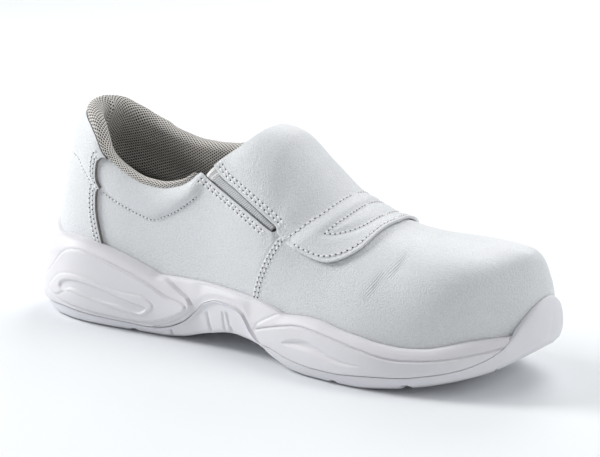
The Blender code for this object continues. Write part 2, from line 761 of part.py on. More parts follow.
def tread_cutter():
    """Slanted bars across the tread, which the outsole is cut by."""
    bm = bmesh.new()
    for groove in GROOVES:
        ends = []
        for side in (LATERAL, MEDIAL):
            share = np.interp(groove.x, EDGES[side][1], EDGES[side][0])
            x, y = edge_point(side, share)
            ends.append((x + groove.slant * side, y + side * (ground_out(share) - groove.margin)))
        top = ground_at(groove.x) + GROOVE_DEPTH
        corners = [(x + half, y) for (x, y), half in zip(
            [ends[0], ends[0], ends[1], ends[1]],
            np.array([-1, 1, 1, -1]) * groove.width / 2)]
        low = add_row(bm, [(x, y, -6) for x, y in corners])
        high = add_row(bm, [(x, y, top) for x, y in corners])
        bridge(bm, low, high)
        bm.faces.new(low)
        bm.faces.new(high)
    return add_object("tread_grooves", bm)


def main():
    for old in list(bpy.data.objects):
        bpy.data.objects.remove(old)
    leather = make_material("white_leather", (0.85, 0.87, 0.88), 0.5)
    overlay = make_material("white_leather_overlay", (0.85, 0.87, 0.88), 0.45)
    soft = make_material("white_soft_polyurethane", (0.84, 0.83, 0.85), 0.5)
    compact = make_material("white_compact_polyurethane", (0.80, 0.80, 0.83), 0.45)
    elastic = make_material("grey_elastic", (0.42, 0.43, 0.44), 0.8)
    mesh = make_material("grey_spacer_mesh", (0.55, 0.53, 0.5), 0.9)
    foam = make_material("grey_insole_fabric", (0.25, 0.25, 0.25), 0.9)
    outsole = stacked_solid("outsole", outsole_rings(), compact)
    cut(outsole, tread_cutter())
    stacked_solid("midsole", midsole_rings(), soft)
    stacked_solid("insole", insole_rings(), foam)
    upper = build_upper(leather)
    build_gores(upper, elastic)
    patch_solid("heel_counter", counter_grid(SEAT), counter_grid(SEAT + COUNTER), overlay)
    patch_solid("instep_flap", flap_grid(2 * SEAT), flap_grid(2 * SEAT + FLAP), overlay)
    build_collar(mesh)


main()
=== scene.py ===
"""White slip-on safety shoe, right foot: leather panels, elastic gores and padded collar laid on the same
last as the frame's solids, over a two-part moulded sole. Sizes are in millimetres, measured from the back of
the last."""

import math

import bpy
import numpy as np
from mathutils import Matrix, Vector
from mathutils.bvhtree import BVHTree


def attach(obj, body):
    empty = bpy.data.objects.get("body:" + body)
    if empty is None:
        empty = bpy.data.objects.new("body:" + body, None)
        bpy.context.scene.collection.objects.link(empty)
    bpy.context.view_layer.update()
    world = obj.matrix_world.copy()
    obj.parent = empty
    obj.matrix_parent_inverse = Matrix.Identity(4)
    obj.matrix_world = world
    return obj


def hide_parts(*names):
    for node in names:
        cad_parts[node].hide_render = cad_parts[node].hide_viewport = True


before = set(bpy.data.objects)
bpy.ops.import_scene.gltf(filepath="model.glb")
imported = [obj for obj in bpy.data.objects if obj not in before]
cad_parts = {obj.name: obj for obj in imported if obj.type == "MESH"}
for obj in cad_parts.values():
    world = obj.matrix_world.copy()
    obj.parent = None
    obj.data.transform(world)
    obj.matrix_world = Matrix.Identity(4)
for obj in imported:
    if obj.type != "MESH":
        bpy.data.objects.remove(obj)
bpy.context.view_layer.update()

LATERAL, MEDIAL = -1, 1
SIDES = (LATERAL, MEDIAL)
RIDGE = math.pi / 2    # angle of the ridge round a section
CENTRE = (148.967, -0.784, 0.0)   # the frame's origin, measured from the back of the last
MM = 0.001             # metres
GAP = 0.3              # clearance between neighbouring pieces
WALL = 2.0             # leather with its backing
SEWN_UNDER = 3         # leather below the feather line, out of sight in the sole
BED_DROP = 2.5         # joint of the two soles below the floor of the foot's space
GROOVE_DEPTH = 2.5     # tread grooves
SIPE_DEPTH = 1.0       # fine cuts between them
CUT_REACH = 0.72       # how far up the outsole's side its upright grooves climb
INSOLE_THICK = 4.5
GORE_LAP = 4           # elastic sewn behind each edge of its slit
UNDER_FLAP = 0.012     # share by which the tongue runs on under the flap
COLLAR_END = 0.348     # share where the padded collar ends at the slit
SLIT_STITCHES = (2.2, 4.2)   # distance of the two rows of stitches from the slit
FLAP_STITCH = 2.1            # distance of the flap's stitches from its free edge
MIDDLE_REACH, MIDDLE_HEIGHT = (-0.11, 0.09), 0.045   # the shoe's middle line, in metres

# The last: plan of the feather edge, then its sections by share of that edge from heel to toe tip
LATERAL_EDGE = [
    (8, 1), (14, -17), (32, -28.5), (70, -31.5), (115, -33.5), (155, -41), (190, -46.5), (222, -48.5),
    (254, -40.5), (281, -21.5), (295.3, 5),
]
MEDIAL_EDGE = [
    (15, 18), (32, 27.5), (70, 30.5), (115, 31), (155, 37.5), (192, 44.5), (227, 47), (261, 42.5),
    (286.8, 28.4),
]
# share, floor, lead of the ridge, its swing to the medial side, its height, fullness of the section
SECTIONS = [
    (0.00, 24, 63, 0, 142, 2.1), (0.10, 24, 58, 0, 142, 2.4), (0.20, 23, 24, 0, 142, 2.6),
    (0.30, 22, 8, 1, 136, 2.4), (0.38, 20, 0, 3, 124, 2.4), (0.446, 18, 0, 4, 114.5, 2.5),
    (0.48, 17, 0, 5, 110.3, 2.4), (0.52, 16, 0, 6, 99.2, 2.3), (0.57, 14, 0, 6, 86, 2.3),
    (0.64, 13, -2, 6, 75, 2.3), (0.74, 13, -5, 6, 69, 2.5), (0.85, 17.5, -11, 4, 68, 2.9),
    (0.92, 24, -16, 2, 67.5, 3.0), (0.96, 27.5, -17.7, 1, 67, 3.0), (1.00, 30, -18, 0, 66.5, 3.0),
]
# share, height of the collar's edge on the lateral and on the medial side
COLLAR_LINE = [
    (0.00, 110.4, 110.4), (0.06, 108.4, 107.9), (0.10, 105.0, 103.1), (0.14, 99.0, 98.9), (0.167, 92.0, 96.9),
    (0.208, 84.6, 93.3), (0.254, 79.4, 91.0), (0.282, 78.8, 91.0), (0.322, 81.8, 92.0), (0.360, 90.3, 95.0),
]
# place up the tongue's back edge, share, angle round the section on the lateral and on the medial side
TONGUE_EDGE = [
    (0.0, 0.386, 42.6, 44.0), (0.20, 0.404, 50.6, 51.6), (0.42, 0.4195, 58.5, 59.0),
    (0.60, 0.431, 67.0, 67.5), (0.80, 0.4395, 78.0, 78.0), (1.0, 0.444, 90.0, 90.0),
]
# share, top of the outsole's edge, fullest height, crest of the side and feather line
SOLE_LINES = [
    (0.00, 7.0, 14.0, 27.0, 51.0), (0.05, 7.0, 14.0, 30.0, 49.0), (0.09, 7.2, 15.0, 35.0, 45.0),
    (0.12, 7.6, 16.0, 38.0, 46.0), (0.15, 7.0, 17.0, 41.0, 46.0), (0.19, 6.1, 16.5, 39.3, 43.6),
    (0.242, 5.6, 16.0, 35.4, 39.1), (0.28, 5.1, 15.5, 31.6, 35.2), (0.301, 5.6, 15.2, 29.4, 33.2),
    (0.32, 7.0, 15.0, 27.2, 33.6), (0.355, 12.6, 16.4, 22.6, 34.0), (0.375, 18.4, 21.0, 25.0, 34.3),
    (0.396, 24.6, 26.4, 29.0, 34.4), (0.425, 27.5, 28.9, 30.6, 34.2), (0.455, 26.8, 28.4, 30.4, 33.8),
    (0.475, 24.4, 26.2, 28.3, 33.4), (0.497, 16.2, 18.2, 20.8, 32.7), (0.518, 11.8, 15.0, 21.4, 31.8),
    (0.54, 10.9, 14.9, 22.8, 30.2), (0.556, 9.6, 14.8, 24.2, 28.7), (0.578, 7.9, 14.5, 25.6, 29.5),
    (0.60, 6.9, 14.2, 26.2, 30.1), (0.625, 6.4, 14.0, 26.0, 29.8), (0.65, 6.4, 13.7, 24.6, 28.3),
    (0.67, 6.6, 13.5, 23.4, 27.1), (0.695, 7.4, 13.0, 21.9, 26.0), (0.725, 8.4, 12.8, 19.9, 24.3),
    (0.77, 9.6, 13.4, 18.8, 23.2), (0.80, 11.3, 14.4, 19.4, 23.7), (0.825, 12.9, 15.9, 20.4, 25.2),
    (0.855, 15.6, 18.2, 21.9, 27.6), (0.88, 19.0, 20.9, 23.6, 28.9), (0.896, 21.9, 23.0, 24.6, 29.4),
    (0.914, 26.2, 26.3, 26.6, 29.9), (0.926, 30.2, 30.2, 30.2, 30.1), (0.94, 35.4, 35.4, 35.4, 30.6),
    (0.955, 40.6, 40.6, 40.6, 31.6), (0.972, 44.8, 44.8, 44.8, 33.0), (0.986, 46.8, 46.8, 46.8, 34.4),
    (1.00, 47.6, 47.6, 47.6, 35.5),
]
# share, how far the sole stands out at the ground, at the outsole's top edge, at its fullest and at the rim
SOLE_WALL = [
    (0.00, 3.5, 7.5, 9.5, 3.5), (0.06, 4.5, 8.5, 10.5, 4.0), (0.10, 5.5, 9.0, 11.0, 4.5),
    (0.13, 5.5, 9.0, 11.0, 4.5), (0.20, 4.5, 7.5, 9.0, 4.2), (0.27, 3.0, 6.0, 7.5, 3.8),
    (0.305, 2.2, 5.0, 6.5, 3.5), (0.34, 2.4, 4.8, 5.8, 3.3), (0.40, 3.6, 5.2, 5.2, 3.2),
    (0.48, 3.8, 5.4, 5.4, 3.2), (0.53, 3.8, 6.0, 6.5, 4.0), (0.575, 4.0, 6.5, 7.0, 4.3),
    (0.63, 4.0, 6.8, 7.4, 4.5), (0.69, 4.0, 6.8, 7.2, 4.5), (0.735, 4.0, 6.6, 7.0, 4.5),
    (0.85, 4.0, 6.2, 6.4, 4.0), (0.91, 3.8, 6.0, 6.2, 3.8), (0.95, 1.8, 3.6, 4.2, 2.8),
    (1.00, 0.8, 2.6, 3.6, 2.6),
]
# distance from the heel, height of the ground line: heel bevel, arch and toe spring
GROUND_LINE = [
    (-4, 4.5), (6, 1.2), (16, 0), (88, 0), (102, 2), (121, 7.8), (140, 11.5), (156, 9.7), (168, 4.5),
    (180, 1.0), (190, 0), (216, 0), (236, 2.0), (249, 4.0), (260, 6.3), (270, 9.0), (278, 11.6),
    (286, 15.4), (293, 20.4), (301, 27),
]
# tread grooves: place, width, slant of the ends, margin left at the edge
GROOVES = [
    (38, 4.0, 3, 9), (71, 4.0, -3, -4), (188, 4.0, 5, 9), (211, 4.0, 5, -4), (224, 4.0, 4, 9),
    (248, 4.0, 3, -4), (259, 4.0, -3, 9),
]
# upright grooves in the outsole's side: share at the foot and at the top, width in share, depth
SIDE_CUTS = [
    (0.3235, 0.3235, 0.0022, 2.0), (0.4055, 0.3950, 0.0026, 1.0), (0.4360, 0.4310, 0.0020, 0.8),
    (0.4515, 0.4370, 0.0026, 1.0), (0.5235, 0.5200, 0.0022, 2.0),
]
# up the heel counter, share of its front edge
COUNTER_FRONT = [
    (0.00, 0.187), (0.06, 0.1832), (0.23, 0.1736), (0.39, 0.1664), (0.555, 0.1636), (0.61, 0.1652),
    (0.645, 0.1735), (0.70, 0.1656), (0.79, 0.1619), (0.866, 0.1604), (0.936, 0.1649), (0.983, 0.1714),
    (1.00, 0.178),
]
# up the instep flap, share and angle of its sewn rear seam, share and angle of its free wavy edge
FLAP_EDGES = [
    (0.0, 0.5315, 34.5, 0.5346, 34.1), (0.2, 0.546, 42.5, 0.571, 35.7), (0.4, 0.5605, 52.0, 0.606, 38.1),
    (0.6, 0.574, 63.0, 0.635, 44.2), (0.8, 0.581, 76.0, 0.664, 58.5), (1.0, 0.5835, 90.0, 0.6775, 90.0),
]
# elastic slit in the side view: quarter's edge x and z, tongue's edge x and z
SLIT = [
    (104.5, 94, 110.5, 101), (111.6, 88.6, 116.3, 94.3), (117.7, 85.4, 122.5, 89.3),
    (127.3, 81.1, 131.7, 85.1), (137.2, 76.9, 141.1, 80.5), (147.0, 72.4, 150.0, 75.7),
    (156.3, 67.9, 158.7, 70.6),
]
# rounded lower end of the slit and the seam from it to the flap's tip, on the quarter and on the tongue
QUARTER_END = [(157.9, 67.3), (159.2, 67.5), (160.1, 68.6), (162, 69.8), (166, 69), (176, 66)]
TONGUE_END = [(159.8, 69.8), (160.3, 68.7), (160.8, 67.5), (163, 65.6)]
# vamp's rear seam in the side view: height, distance from the heel
VAMP_SEAM = [
    (28, 149.8), (33.5, 150.6), (40.1, 151.8), (46.8, 153.8), (52.8, 156.2), (58.7, 158.9), (63.6, 161.6),
    (68, 163.5),
]
# padding stitch under the collar: share, height
PAD_STITCH = [
    (0.00, 88.0), (0.05, 87.6), (0.10, 85.7), (0.126, 80.8), (0.151, 75.5), (0.171, 71.8), (0.198, 68.2),
    (0.228, 64.7), (0.253, 62.3), (0.274, 61.1), (0.295, 63.6), (0.321, 68.5), (0.345, 74.3), (0.365, 80.1),
    (0.38, 85.0),
]
# padded collar's section: out from the leather, up from its edge
COLLAR_ROLL = [
    (-0.5, -2.6), (0.2, 0.2), (1.1, 1.8), (0.6, 3.8), (-1.4, 5.0), (-4.4, 4.6), (-6.6, 2.4), (-7.6, -2),
    (-7.6, -9), (-6.4, -19), (-4.6, -30), (-2.4, -31), (-2.2, -20), (-2.0, -9),
]
# middle of the creases behind the toe cap: angle, share
CREASE_LINE = [
    (20.3, 0.6769), (28.9, 0.6944), (37.6, 0.7075), (46.5, 0.7200), (56.0, 0.7319), (70.3, 0.7419),
    (87.3, 0.7475),
]
# V stitch on the flap: share, angle
V_STITCH = [
    [(0.5946, 52.2), (0.6035, 61.6), (0.6110, 72.0), (0.6132, 80.0), (0.6138, 90)],
    [(0.5946, 52.2), (0.6100, 55.8), (0.6205, 59.6), (0.6360, 66.8), (0.6460, 76.1), (0.6505, 90)],
]

# Relief on the sole's side, share and height round each shape
HEEL_PAD = [
    (0.052, 6), (0.050, 22), (0.057, 29.6), (0.078, 38.4), (0.100, 44.4), (0.115, 48), (0.30, 48),
    (0.301, 34.0), (0.323, 31.0), (0.344, 27.4), (0.361, 24.8), (0.3675, 21.6), (0.364, 19.2),
    (0.347, 15.2), (0.326, 10.8), (0.296, 7.2), (0.288, 5.0),
]
HEEL_LEAF = [
    (0.086, 18.6), (0.101, 26.6), (0.118, 34.2), (0.134, 38.6), (0.160, 40.0), (0.203, 36.9), (0.251, 32.3),
    (0.296, 26.9), (0.337, 21.9), (0.359, 19.9), (0.337, 14.4), (0.301, 9.8), (0.276, 8.4), (0.227, 8.4),
    (0.181, 9.2), (0.131, 11.4), (0.095, 15.4),
]
SLOT_RIM = [
    (0.106, 16.4), (0.114, 21.6), (0.125, 25.1), (0.138, 26.6), (0.156, 27.1), (0.196, 24.6), (0.251, 21.8),
    (0.293, 19.3), (0.297, 17.8), (0.290, 14.4), (0.283, 12.4), (0.268, 11.8), (0.244, 12.4), (0.196, 15.0),
    (0.156, 17.8), (0.140, 18.0), (0.130, 16.2), (0.118, 14.2),
]
HEEL_SLOT = [
    (0.127, 19.5), (0.133, 22.5), (0.142, 23.9), (0.157, 24.5), (0.215, 21.1), (0.271, 17.3), (0.284, 15.7),
    (0.280, 13.9), (0.251, 13.7), (0.196, 16.3), (0.162, 19.3), (0.145, 19.2), (0.135, 17.6),
]
WING = [
    (0.503, 17.0), (0.511, 21.0), (0.528, 24.6), (0.545, 27.6), (0.565, 30.4), (0.58, 36), (0.99, 40),
    (0.95, 20), (0.90, 12), (0.80, 4), (0.66, 0), (0.55, 0), (0.532, 8),
]
WING_FACE = [
    (0.506, 16.8), (0.511, 18.2), (0.525, 19.9), (0.551, 22.5), (0.581, 24.9), (0.600, 25.5), (0.620, 25.1),
    (0.639, 24.3), (0.658, 23.3), (0.675, 22.3), (0.692, 21.1), (0.709, 20.1), (0.724, 18.9), (0.739, 18.1),
    (0.754, 17.7), (0.768, 17.7), (0.796, 18.3), (0.824, 19.3), (0.852, 21.0), (0.880, 23.0), (0.909, 25.0),
    (0.93, 26.5), (0.96, 29), (0.95, 14), (0.80, 2), (0.66, -2), (0.55, -2), (0.534, 8),
]
WING_SCOOP = [
    (0.567, 16.2), (0.580, 18.4), (0.598, 19.9), (0.613, 20.2), (0.636, 18.4), (0.672, 14.8), (0.708, 12.8),
    (0.687, 11.6), (0.647, 12.4), (0.603, 14.6),
]


def metres(points):
    return (np.asarray(points, float) - CENTRE) * MM


def curve(keys, values):
    """Monotone cubic through the rows of a table, so it never swings past a row."""
    x, y = np.asarray(keys, float), np.asarray(values, float)
    step = np.diff(x)
    rate = np.diff(y) / step
    slope = np.r_[rate[0], np.zeros(len(x) - 2), rate[-1]]
    for k in range(1, len(x) - 1):
        if rate[k - 1] * rate[k] > 0:
            near, far = 2 * step[k] + step[k - 1], step[k] + 2 * step[k - 1]
            slope[k] = (near + far) / (near / rate[k - 1] + far / rate[k])

    def value(at):
        at = np.clip(np.asarray(at, float), x[0], x[-1])
        k = np.clip(np.searchsorted(x, at, side="right") - 1, 0, len(step) - 1)
        t = (at - x[k]) / step[k]
        ends = t * (1 - t) ** 2 * step[k] * slope[k] + t * t * (t - 1) * step[k] * slope[k + 1]
        return y[k] + (y[k + 1] - y[k]) * (3 - 2 * t) * t * t + ends

    return value


def curves(rows):
    table = np.array(rows, float)
    return [curve(table[:, 0], column) for column in table[:, 1:].T]


floor_at, lead_at, swing_at, ridge_at, fullness_at = curves(SECTIONS)
collar_lateral, collar_medial = curves(COLLAR_LINE)
tongue_share, tongue_lateral, tongue_medial = curves(TONGUE_EDGE)
part_at, full_at, crest_at, feather_at = curves(SOLE_LINES)
ground_out, part_out, full_out, rim_out = curves(SOLE_WALL)
(ground_at,) = curves(GROUND_LINE)
(counter_front,) = curves(COUNTER_FRONT)
seam_share, seam_angle, wave_share, wave_angle = curves(FLAP_EDGES)
(pad_line,) = curves(PAD_STITCH)


def closed_spline(points, samples):
    """Periodic cubic spline, as one list of samples for each span between points."""
    p = np.array(points, float)
    count = len(p)
    h = np.linalg.norm(np.roll(p, -1, 0) - p, axis=1)
    before = np.roll(h, 1)
    system = np.zeros((count, count))
    for k in range(count):
        system[k, k - 1] += before[k]
        system[k, k] += 2 * (before[k] + h[k])
        system[k, (k + 1) % count] += h[k]
    rate = (np.roll(p, -1, 0) - p) / h[:, None]
    bend = np.linalg.solve(system, 6 * (rate - np.roll(rate, 1, 0)))
    spans = []
    for k in range(count):
        n = (k + 1) % count
        t = np.linspace(0, h[k], samples, endpoint=False)[:, None]
        u = h[k] - t
        spans.append((bend[k] * u**3 + bend[n] * t**3) / (6 * h[k])
                     + (p[k] / h[k] - bend[k] * h[k] / 6) * u + (p[n] / h[k] - bend[n] * h[k] / 6) * t)
    return spans


def side_edges():
    """Each side's feather edge, heel to toe: share, x, y, outward x and y."""
    spans = closed_spline(LATERAL_EDGE + MEDIAL_EDGE[::-1], 40)
    turn = len(LATERAL_EDGE) - 1
    lateral = np.vstack(spans[:turn] + [spans[turn][:1]])
    medial = np.vstack(spans[turn:] + [spans[0][:1]])[::-1]
    edges = {}
    for side, line in ((LATERAL, lateral), (MEDIAL, medial)):
        length = np.r_[0, np.cumsum(np.linalg.norm(np.diff(line, axis=0), axis=1))]
        along = np.gradient(line, axis=0)
        along[0], along[-1] = (0, side), (0, -side)
        along /= np.linalg.norm(along, axis=1)[:, None]
        edges[side] = (length / length[-1], *line.T, -along[:, 1] * side, along[:, 0] * side)
    return edges


EDGES = side_edges()
EDGE_X, EDGE_Y, OUT_X, OUT_Y = 1, 2, 3, 4   # columns of an edge, after its share
EDGE_LENGTH = 330.0   # mm of feather edge on each side


def by_side(side, column, share):
    return np.where(np.asarray(side) < 0, np.interp(share, EDGES[LATERAL][0], EDGES[LATERAL][column]),
                    np.interp(share, EDGES[MEDIAL][0], EDGES[MEDIAL][column]))


def collar_at(side, share):
    return np.where(np.asarray(side) < 0, collar_lateral(share), collar_medial(share))


def rise_angle(share, z):
    """Angle round the section at a height: 0 at the insole board, a quarter turn at the ridge."""
    low = floor_at(share)
    return np.arcsin(np.clip((z - low) / (ridge_at(share) - low), 0, 1) ** (fullness_at(share) / 2))


def section_point(side, share, angle):
    """Point of the upper's outer surface."""
    x, y = by_side(side, EDGE_X, share), by_side(side, EDGE_Y, share)
    ridge_x = (x + by_side(-np.asarray(side), EDGE_X, share)) / 2 + lead_at(share)
    ridge_y = (y + by_side(-np.asarray(side), EDGE_Y, share)) / 2 + swing_at(share)
    power = 2 / fullness_at(share)
    inward = 1 - np.clip(np.cos(angle), 0, 1) ** power
    upward = np.clip(np.sin(angle), 0, 1) ** power
    low = floor_at(share)
    return np.stack([x + (ridge_x - x) * inward, y + (ridge_y - y) * inward,
                     low + (ridge_at(share) - low) * upward], axis=-1)


def skin(side, share, angle, out=0.0):
    """Point at a distance outside the upper's surface, square to it, and upright on the centre line."""
    side, share, angle, out = np.broadcast_arrays(*(np.asarray(v, float) for v in (side, share, angle, out)))
    s0, s1 = np.clip(share - 0.004, 0, 1), np.clip(share + 0.004, 0, 1)
    a0, a1 = np.clip(angle - 0.01, 0, RIDGE), np.clip(angle + 0.01, 0, RIDGE)
    along = section_point(side, s1, angle) - section_point(side, s0, angle)
    up = section_point(side, share, a1) - section_point(side, share, a0)
    normal = np.cross(along, up) * -side[..., None]
    ends = (share <= 0) | (share >= 1)
    behind = np.where(share > 0.95, share - 0.05, s0)   # a longer reach at the toe, where the sections crowd
    spine = section_point(side, s1, angle) - section_point(side, behind, angle)
    slope = np.where(ends[..., None], up, spine) * np.where(share >= 1, -1, 1)[..., None]
    upright = np.stack([-slope[..., 2], np.zeros_like(share), slope[..., 0]], axis=-1)
    normal = np.where((ends | (angle >= RIDGE - 1e-9))[..., None], upright, normal)
    normal /= np.linalg.norm(normal, axis=-1)[..., None]
    return section_point(side, share, angle) + normal * out[..., None]


def wall_point(side, share, z, out):
    """Point at a height and a level distance outside the upper's surface."""
    side, share, z, out = np.broadcast_arrays(*(np.asarray(v, float) for v in (side, share, z, out)))
    point = section_point(side, share, rise_angle(share, z))
    return np.stack([point[..., 0] + by_side(side, OUT_X, share) * out,
                     point[..., 1] + by_side(side, OUT_Y, share) * out, z], axis=-1)


def side_view(side, x, z):
    """Share of the edge at which the upper's surface passes a point of the side view."""
    x, z = np.asarray(x, float), np.asarray(z, float)
    share = np.interp(x, EDGES[side][1], EDGES[side][0])
    for _ in range(14):
        share = share + (x - section_point(side, share, rise_angle(share, z))[..., 0]) / EDGE_LENGTH
    return share


def trace(side, points):
    """Share and angle of points of the side view."""
    x, z = np.array(points, float).T
    share = side_view(side, x, z)
    return share, rise_angle(share, z)


def smooth(t):
    t = np.clip(t, 0, 1)
    return t * t * (3 - 2 * t)


def bell(distance, width):
    return np.exp(-((distance / width) ** 2))


def distance_to(points, line):
    """Distance of each point from the nearest of a finely sampled line's."""
    gap = np.full(points.shape[:-1], 1e9)
    for p in line:
        gap = np.minimum(gap, np.linalg.norm(points - p, axis=-1))
    return gap


def inside_by(share, z, outline):
    """Distance inside a relief outline on the sole's side, negative outside it."""
    px, pz = share * EDGE_LENGTH, z
    corners = np.array(outline, float) * (EDGE_LENGTH, 1)
    gap = np.full(np.broadcast(px, pz).shape, 1e9)
    inside = np.zeros(gap.shape, bool)
    for (ax, az), (bx, bz) in zip(corners, np.roll(corners, -1, 0)):
        t = np.clip(((px - ax) * (bx - ax) + (pz - az) * (bz - az)) / ((bx - ax) ** 2 + (bz - az) ** 2), 0, 1)
        gap = np.minimum(gap, np.hypot(px - ax - t * (bx - ax), pz - az - t * (bz - az)))
        crosses = (az > pz) != (bz > pz)
        inside ^= crosses & (px < ax + (pz - az) * (bx - ax) / np.where(bz == az, 1e-9, bz - az))
    return np.where(inside, gap, -gap)


def step(depth, width):
    """Rise from 0 to 1 over a width centred on an outline."""
    return smooth(depth / width + 0.5)


def between(first, last, place):
    return first * (1 - place) + last * place


def closed(*parts):
    """Parts of a section side by side, brought back to the first column."""
    loop = np.concatenate(parts, axis=1)
    return np.concatenate([loop, loop[:, :1]], axis=1)


def rounded(outline, samples=6):
    return np.vstack(closed_spline(np.array(outline) * (EDGE_LENGTH, 1), samples)) / (EDGE_LENGTH, 1)


# Modelling helpers


def lay_pattern(name, points, materials):
    """Flat grid with a vertex for each point of the pattern, moved to its place on the last, mapped in mm."""
    rows, cols = points.shape[:2]
    bpy.ops.object.select_all(action="DESELECT")
    bpy.ops.mesh.primitive_grid_add(x_subdivisions=cols - 1, y_subdivisions=rows - 1, size=1)
    piece = bpy.context.object
    piece.name = piece.data.name = name
    flat = np.empty(len(piece.data.vertices) * 3)
    piece.data.vertices.foreach_get("co", flat)
    flat = flat.reshape(-1, 3) + 0.5
    col = np.rint(flat[:, 0] * (cols - 1)).astype(int)
    row = np.rint(flat[:, 1] * (rows - 1)).astype(int)
    piece.data.vertices.foreach_set("co", metres(points[row, col]).ravel())
    across = np.r_[0, np.cumsum(np.linalg.norm(np.diff(points, axis=1), axis=-1).mean(axis=0))]
    along = np.r_[0, np.cumsum(np.linalg.norm(np.diff(points, axis=0), axis=-1).mean(axis=1))]
    corner = np.empty(len(piece.data.loops), int)
    piece.data.loops.foreach_get("vertex_index", corner)
    layer = piece.data.uv_layers.active.data
    layer.foreach_set("uv", np.stack([across[col], along[row]], axis=-1)[corner].ravel().astype(np.float32))
    for material in materials:
        piece.data.materials.append(material)
    return piece


def choose(piece):
    bpy.ops.object.select_all(action="DESELECT")
    piece.select_set(True)
    bpy.context.view_layer.objects.active = piece


def merge_doubles(piece):
    """Joins the points that meet where a pattern closes, and turns its faces outwards."""
    choose(piece)
    bpy.ops.object.mode_set(mode="EDIT")
    bpy.ops.mesh.select_all(action="SELECT")
    bpy.ops.mesh.remove_doubles(threshold=1e-5)
    bpy.ops.mesh.select_all(action="SELECT")
    bpy.ops.mesh.normals_make_consistent(inside=False)
    bpy.ops.object.mode_set(mode="OBJECT")


def face_out(piece):
    """Turns a sheet's faces so that they point away from the shoe's middle line."""
    mesh = piece.data
    centres = np.array([polygon.center for polygon in mesh.polygons])
    normals = np.array([polygon.normal for polygon in mesh.polygons])
    middle = np.zeros_like(centres)
    middle[:, 0], middle[:, 2] = np.clip(centres[:, 0], *MIDDLE_REACH), MIDDLE_HEIGHT
    if ((centres - middle) * normals).sum() < 0:
        mesh.flip_normals()


def apply_modifier(piece, kind, **settings):
    choose(piece)
    bpy.ops.object.modifier_add(type=kind)
    modifier = piece.modifiers[-1]
    for key, value in settings.items():
        setattr(modifier, key, value)
    bpy.ops.object.modifier_apply(modifier=modifier.name)


def finish_panel(piece, thickness, rim):
    """Gives a sheet its thickness inwards and rounds its cut edge."""
    apply_modifier(piece, "SOLIDIFY", thickness=thickness * MM, offset=-1, material_offset=1,
                   material_offset_rim=2)
    if rim:
        apply_modifier(piece, "BEVEL", width=rim * MM, segments=2, limit_method="ANGLE",
                       angle_limit=math.radians(55))
    smooth_shade(piece)


def smooth_shade(piece, angle=40):
    choose(piece)
    bpy.ops.object.shade_smooth_by_angle(angle=math.radians(angle))


def enter(piece, slot, *nodes, padded=None):
    """Puts a finished piece on the shoe's one body and hides the solids it stands for."""
    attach(piece, "root")
    if nodes:
        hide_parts(*nodes)
    return piece


# Materials


def colour(code):
    """sRGB hex to linear."""
    parts = [int(code[k:k + 2], 16) / 255 for k in (1, 3, 5)]
    return (*[c / 12.92 if c <= 0.04045 else ((c + 0.055) / 1.055) ** 2.4 for c in parts], 1.0)


def feed(tree, made, inputs):
    """Links or sets inputs of a node."""
    for key, value in inputs.items():
        if isinstance(value, bpy.types.NodeSocket):
            tree.links.new(value, made.inputs[key])
        else:
            made.inputs[key].default_value = value


def node(tree, kind, inputs, **settings):
    made = tree.nodes.new(kind)
    for key, value in settings.items():
        setattr(made, key, value)
    feed(tree, made, inputs)
    return made


def new_material(name, **constants):
    material = bpy.data.materials.new(name)
    material.use_nodes = True
    tree = material.node_tree
    shader = tree.nodes["Principled BSDF"]
    feed(tree, shader, {key.replace("_", " "): value for key, value in constants.items()})
    return material, tree, shader, node(tree, "ShaderNodeTexCoord", {})


def finish_material(tree, shader, factor, dark, light, height, strength, depth, gloss=None, **settings):
    """Colour between two tones, a bump in metres, and roughness where gloss gives a source and two ends."""
    tone = node(tree, "ShaderNodeMix", {"Factor": factor, 6: dark, 7: light}, data_type="RGBA")
    bump = node(tree, "ShaderNodeBump",
                {"Height": height, "Strength": strength, "Distance": depth}, **settings)
    feed(tree, shader, {"Base Color": tone.outputs[2], "Normal": bump.outputs["Normal"]})
    if gloss:
        spread = node(tree, "ShaderNodeMapRange", dict(zip(("Value", "To Min", "To Max"), gloss)))
        feed(tree, shader, {"Roughness": spread.outputs["Result"]})


def leather(name, dark, light, rough):
    """Coated white leather embossed with a fine pebble about 0.8 mm across: satin, its valleys painted a soft
    grey as shade.
    """
    material, tree, shader, place = new_material(name, IOR=1.5)
    here = place.outputs["Object"]
    wander, pores, cloud = (
        node(tree, "ShaderNodeTexNoise", {"Vector": here, "Scale": 1 / size, "Detail": detail}).outputs
        for size, detail in ((0.004, 2.0), (0.0006, 3.0), (0.035, 2.0)))
    bent = node(tree, "ShaderNodeMix", {"Factor": 0.0003, 4: here, 5: wander["Color"]}, data_type="VECTOR")
    dome = node(tree, "ShaderNodeTexVoronoi",
                {"Vector": bent.outputs[1], "Scale": 1 / 0.0008, "Smoothness": 0.3},
                feature="SMOOTH_F1").outputs["Distance"]
    valley = node(tree, "ShaderNodeMapRange",
                  {"Value": dome, "From Min": 0.25, "From Max": 0.75}).outputs["Result"]
    # painted shade: the colour darkens in the pebble's valleys
    shade = node(tree, "ShaderNodeMath", {0: cloud["Fac"], 1: valley, 2: 0.0}, operation="SUBTRACT")
    factor = node(tree, "ShaderNodeMapRange", {"Value": shade.outputs[0], "From Min": -0.5, "From Max": 0.6})
    grain = node(tree, "ShaderNodeMath", {0: pores["Fac"], 1: 0.35, 2: dome}, operation="MULTIPLY_ADD")
    finish_material(tree, shader, factor.outputs["Result"], colour(dark), colour(light), grain.outputs[0],
                    0.8, 0.0003, (valley, rough - 0.06, rough + 0.10), invert=True)
    return material


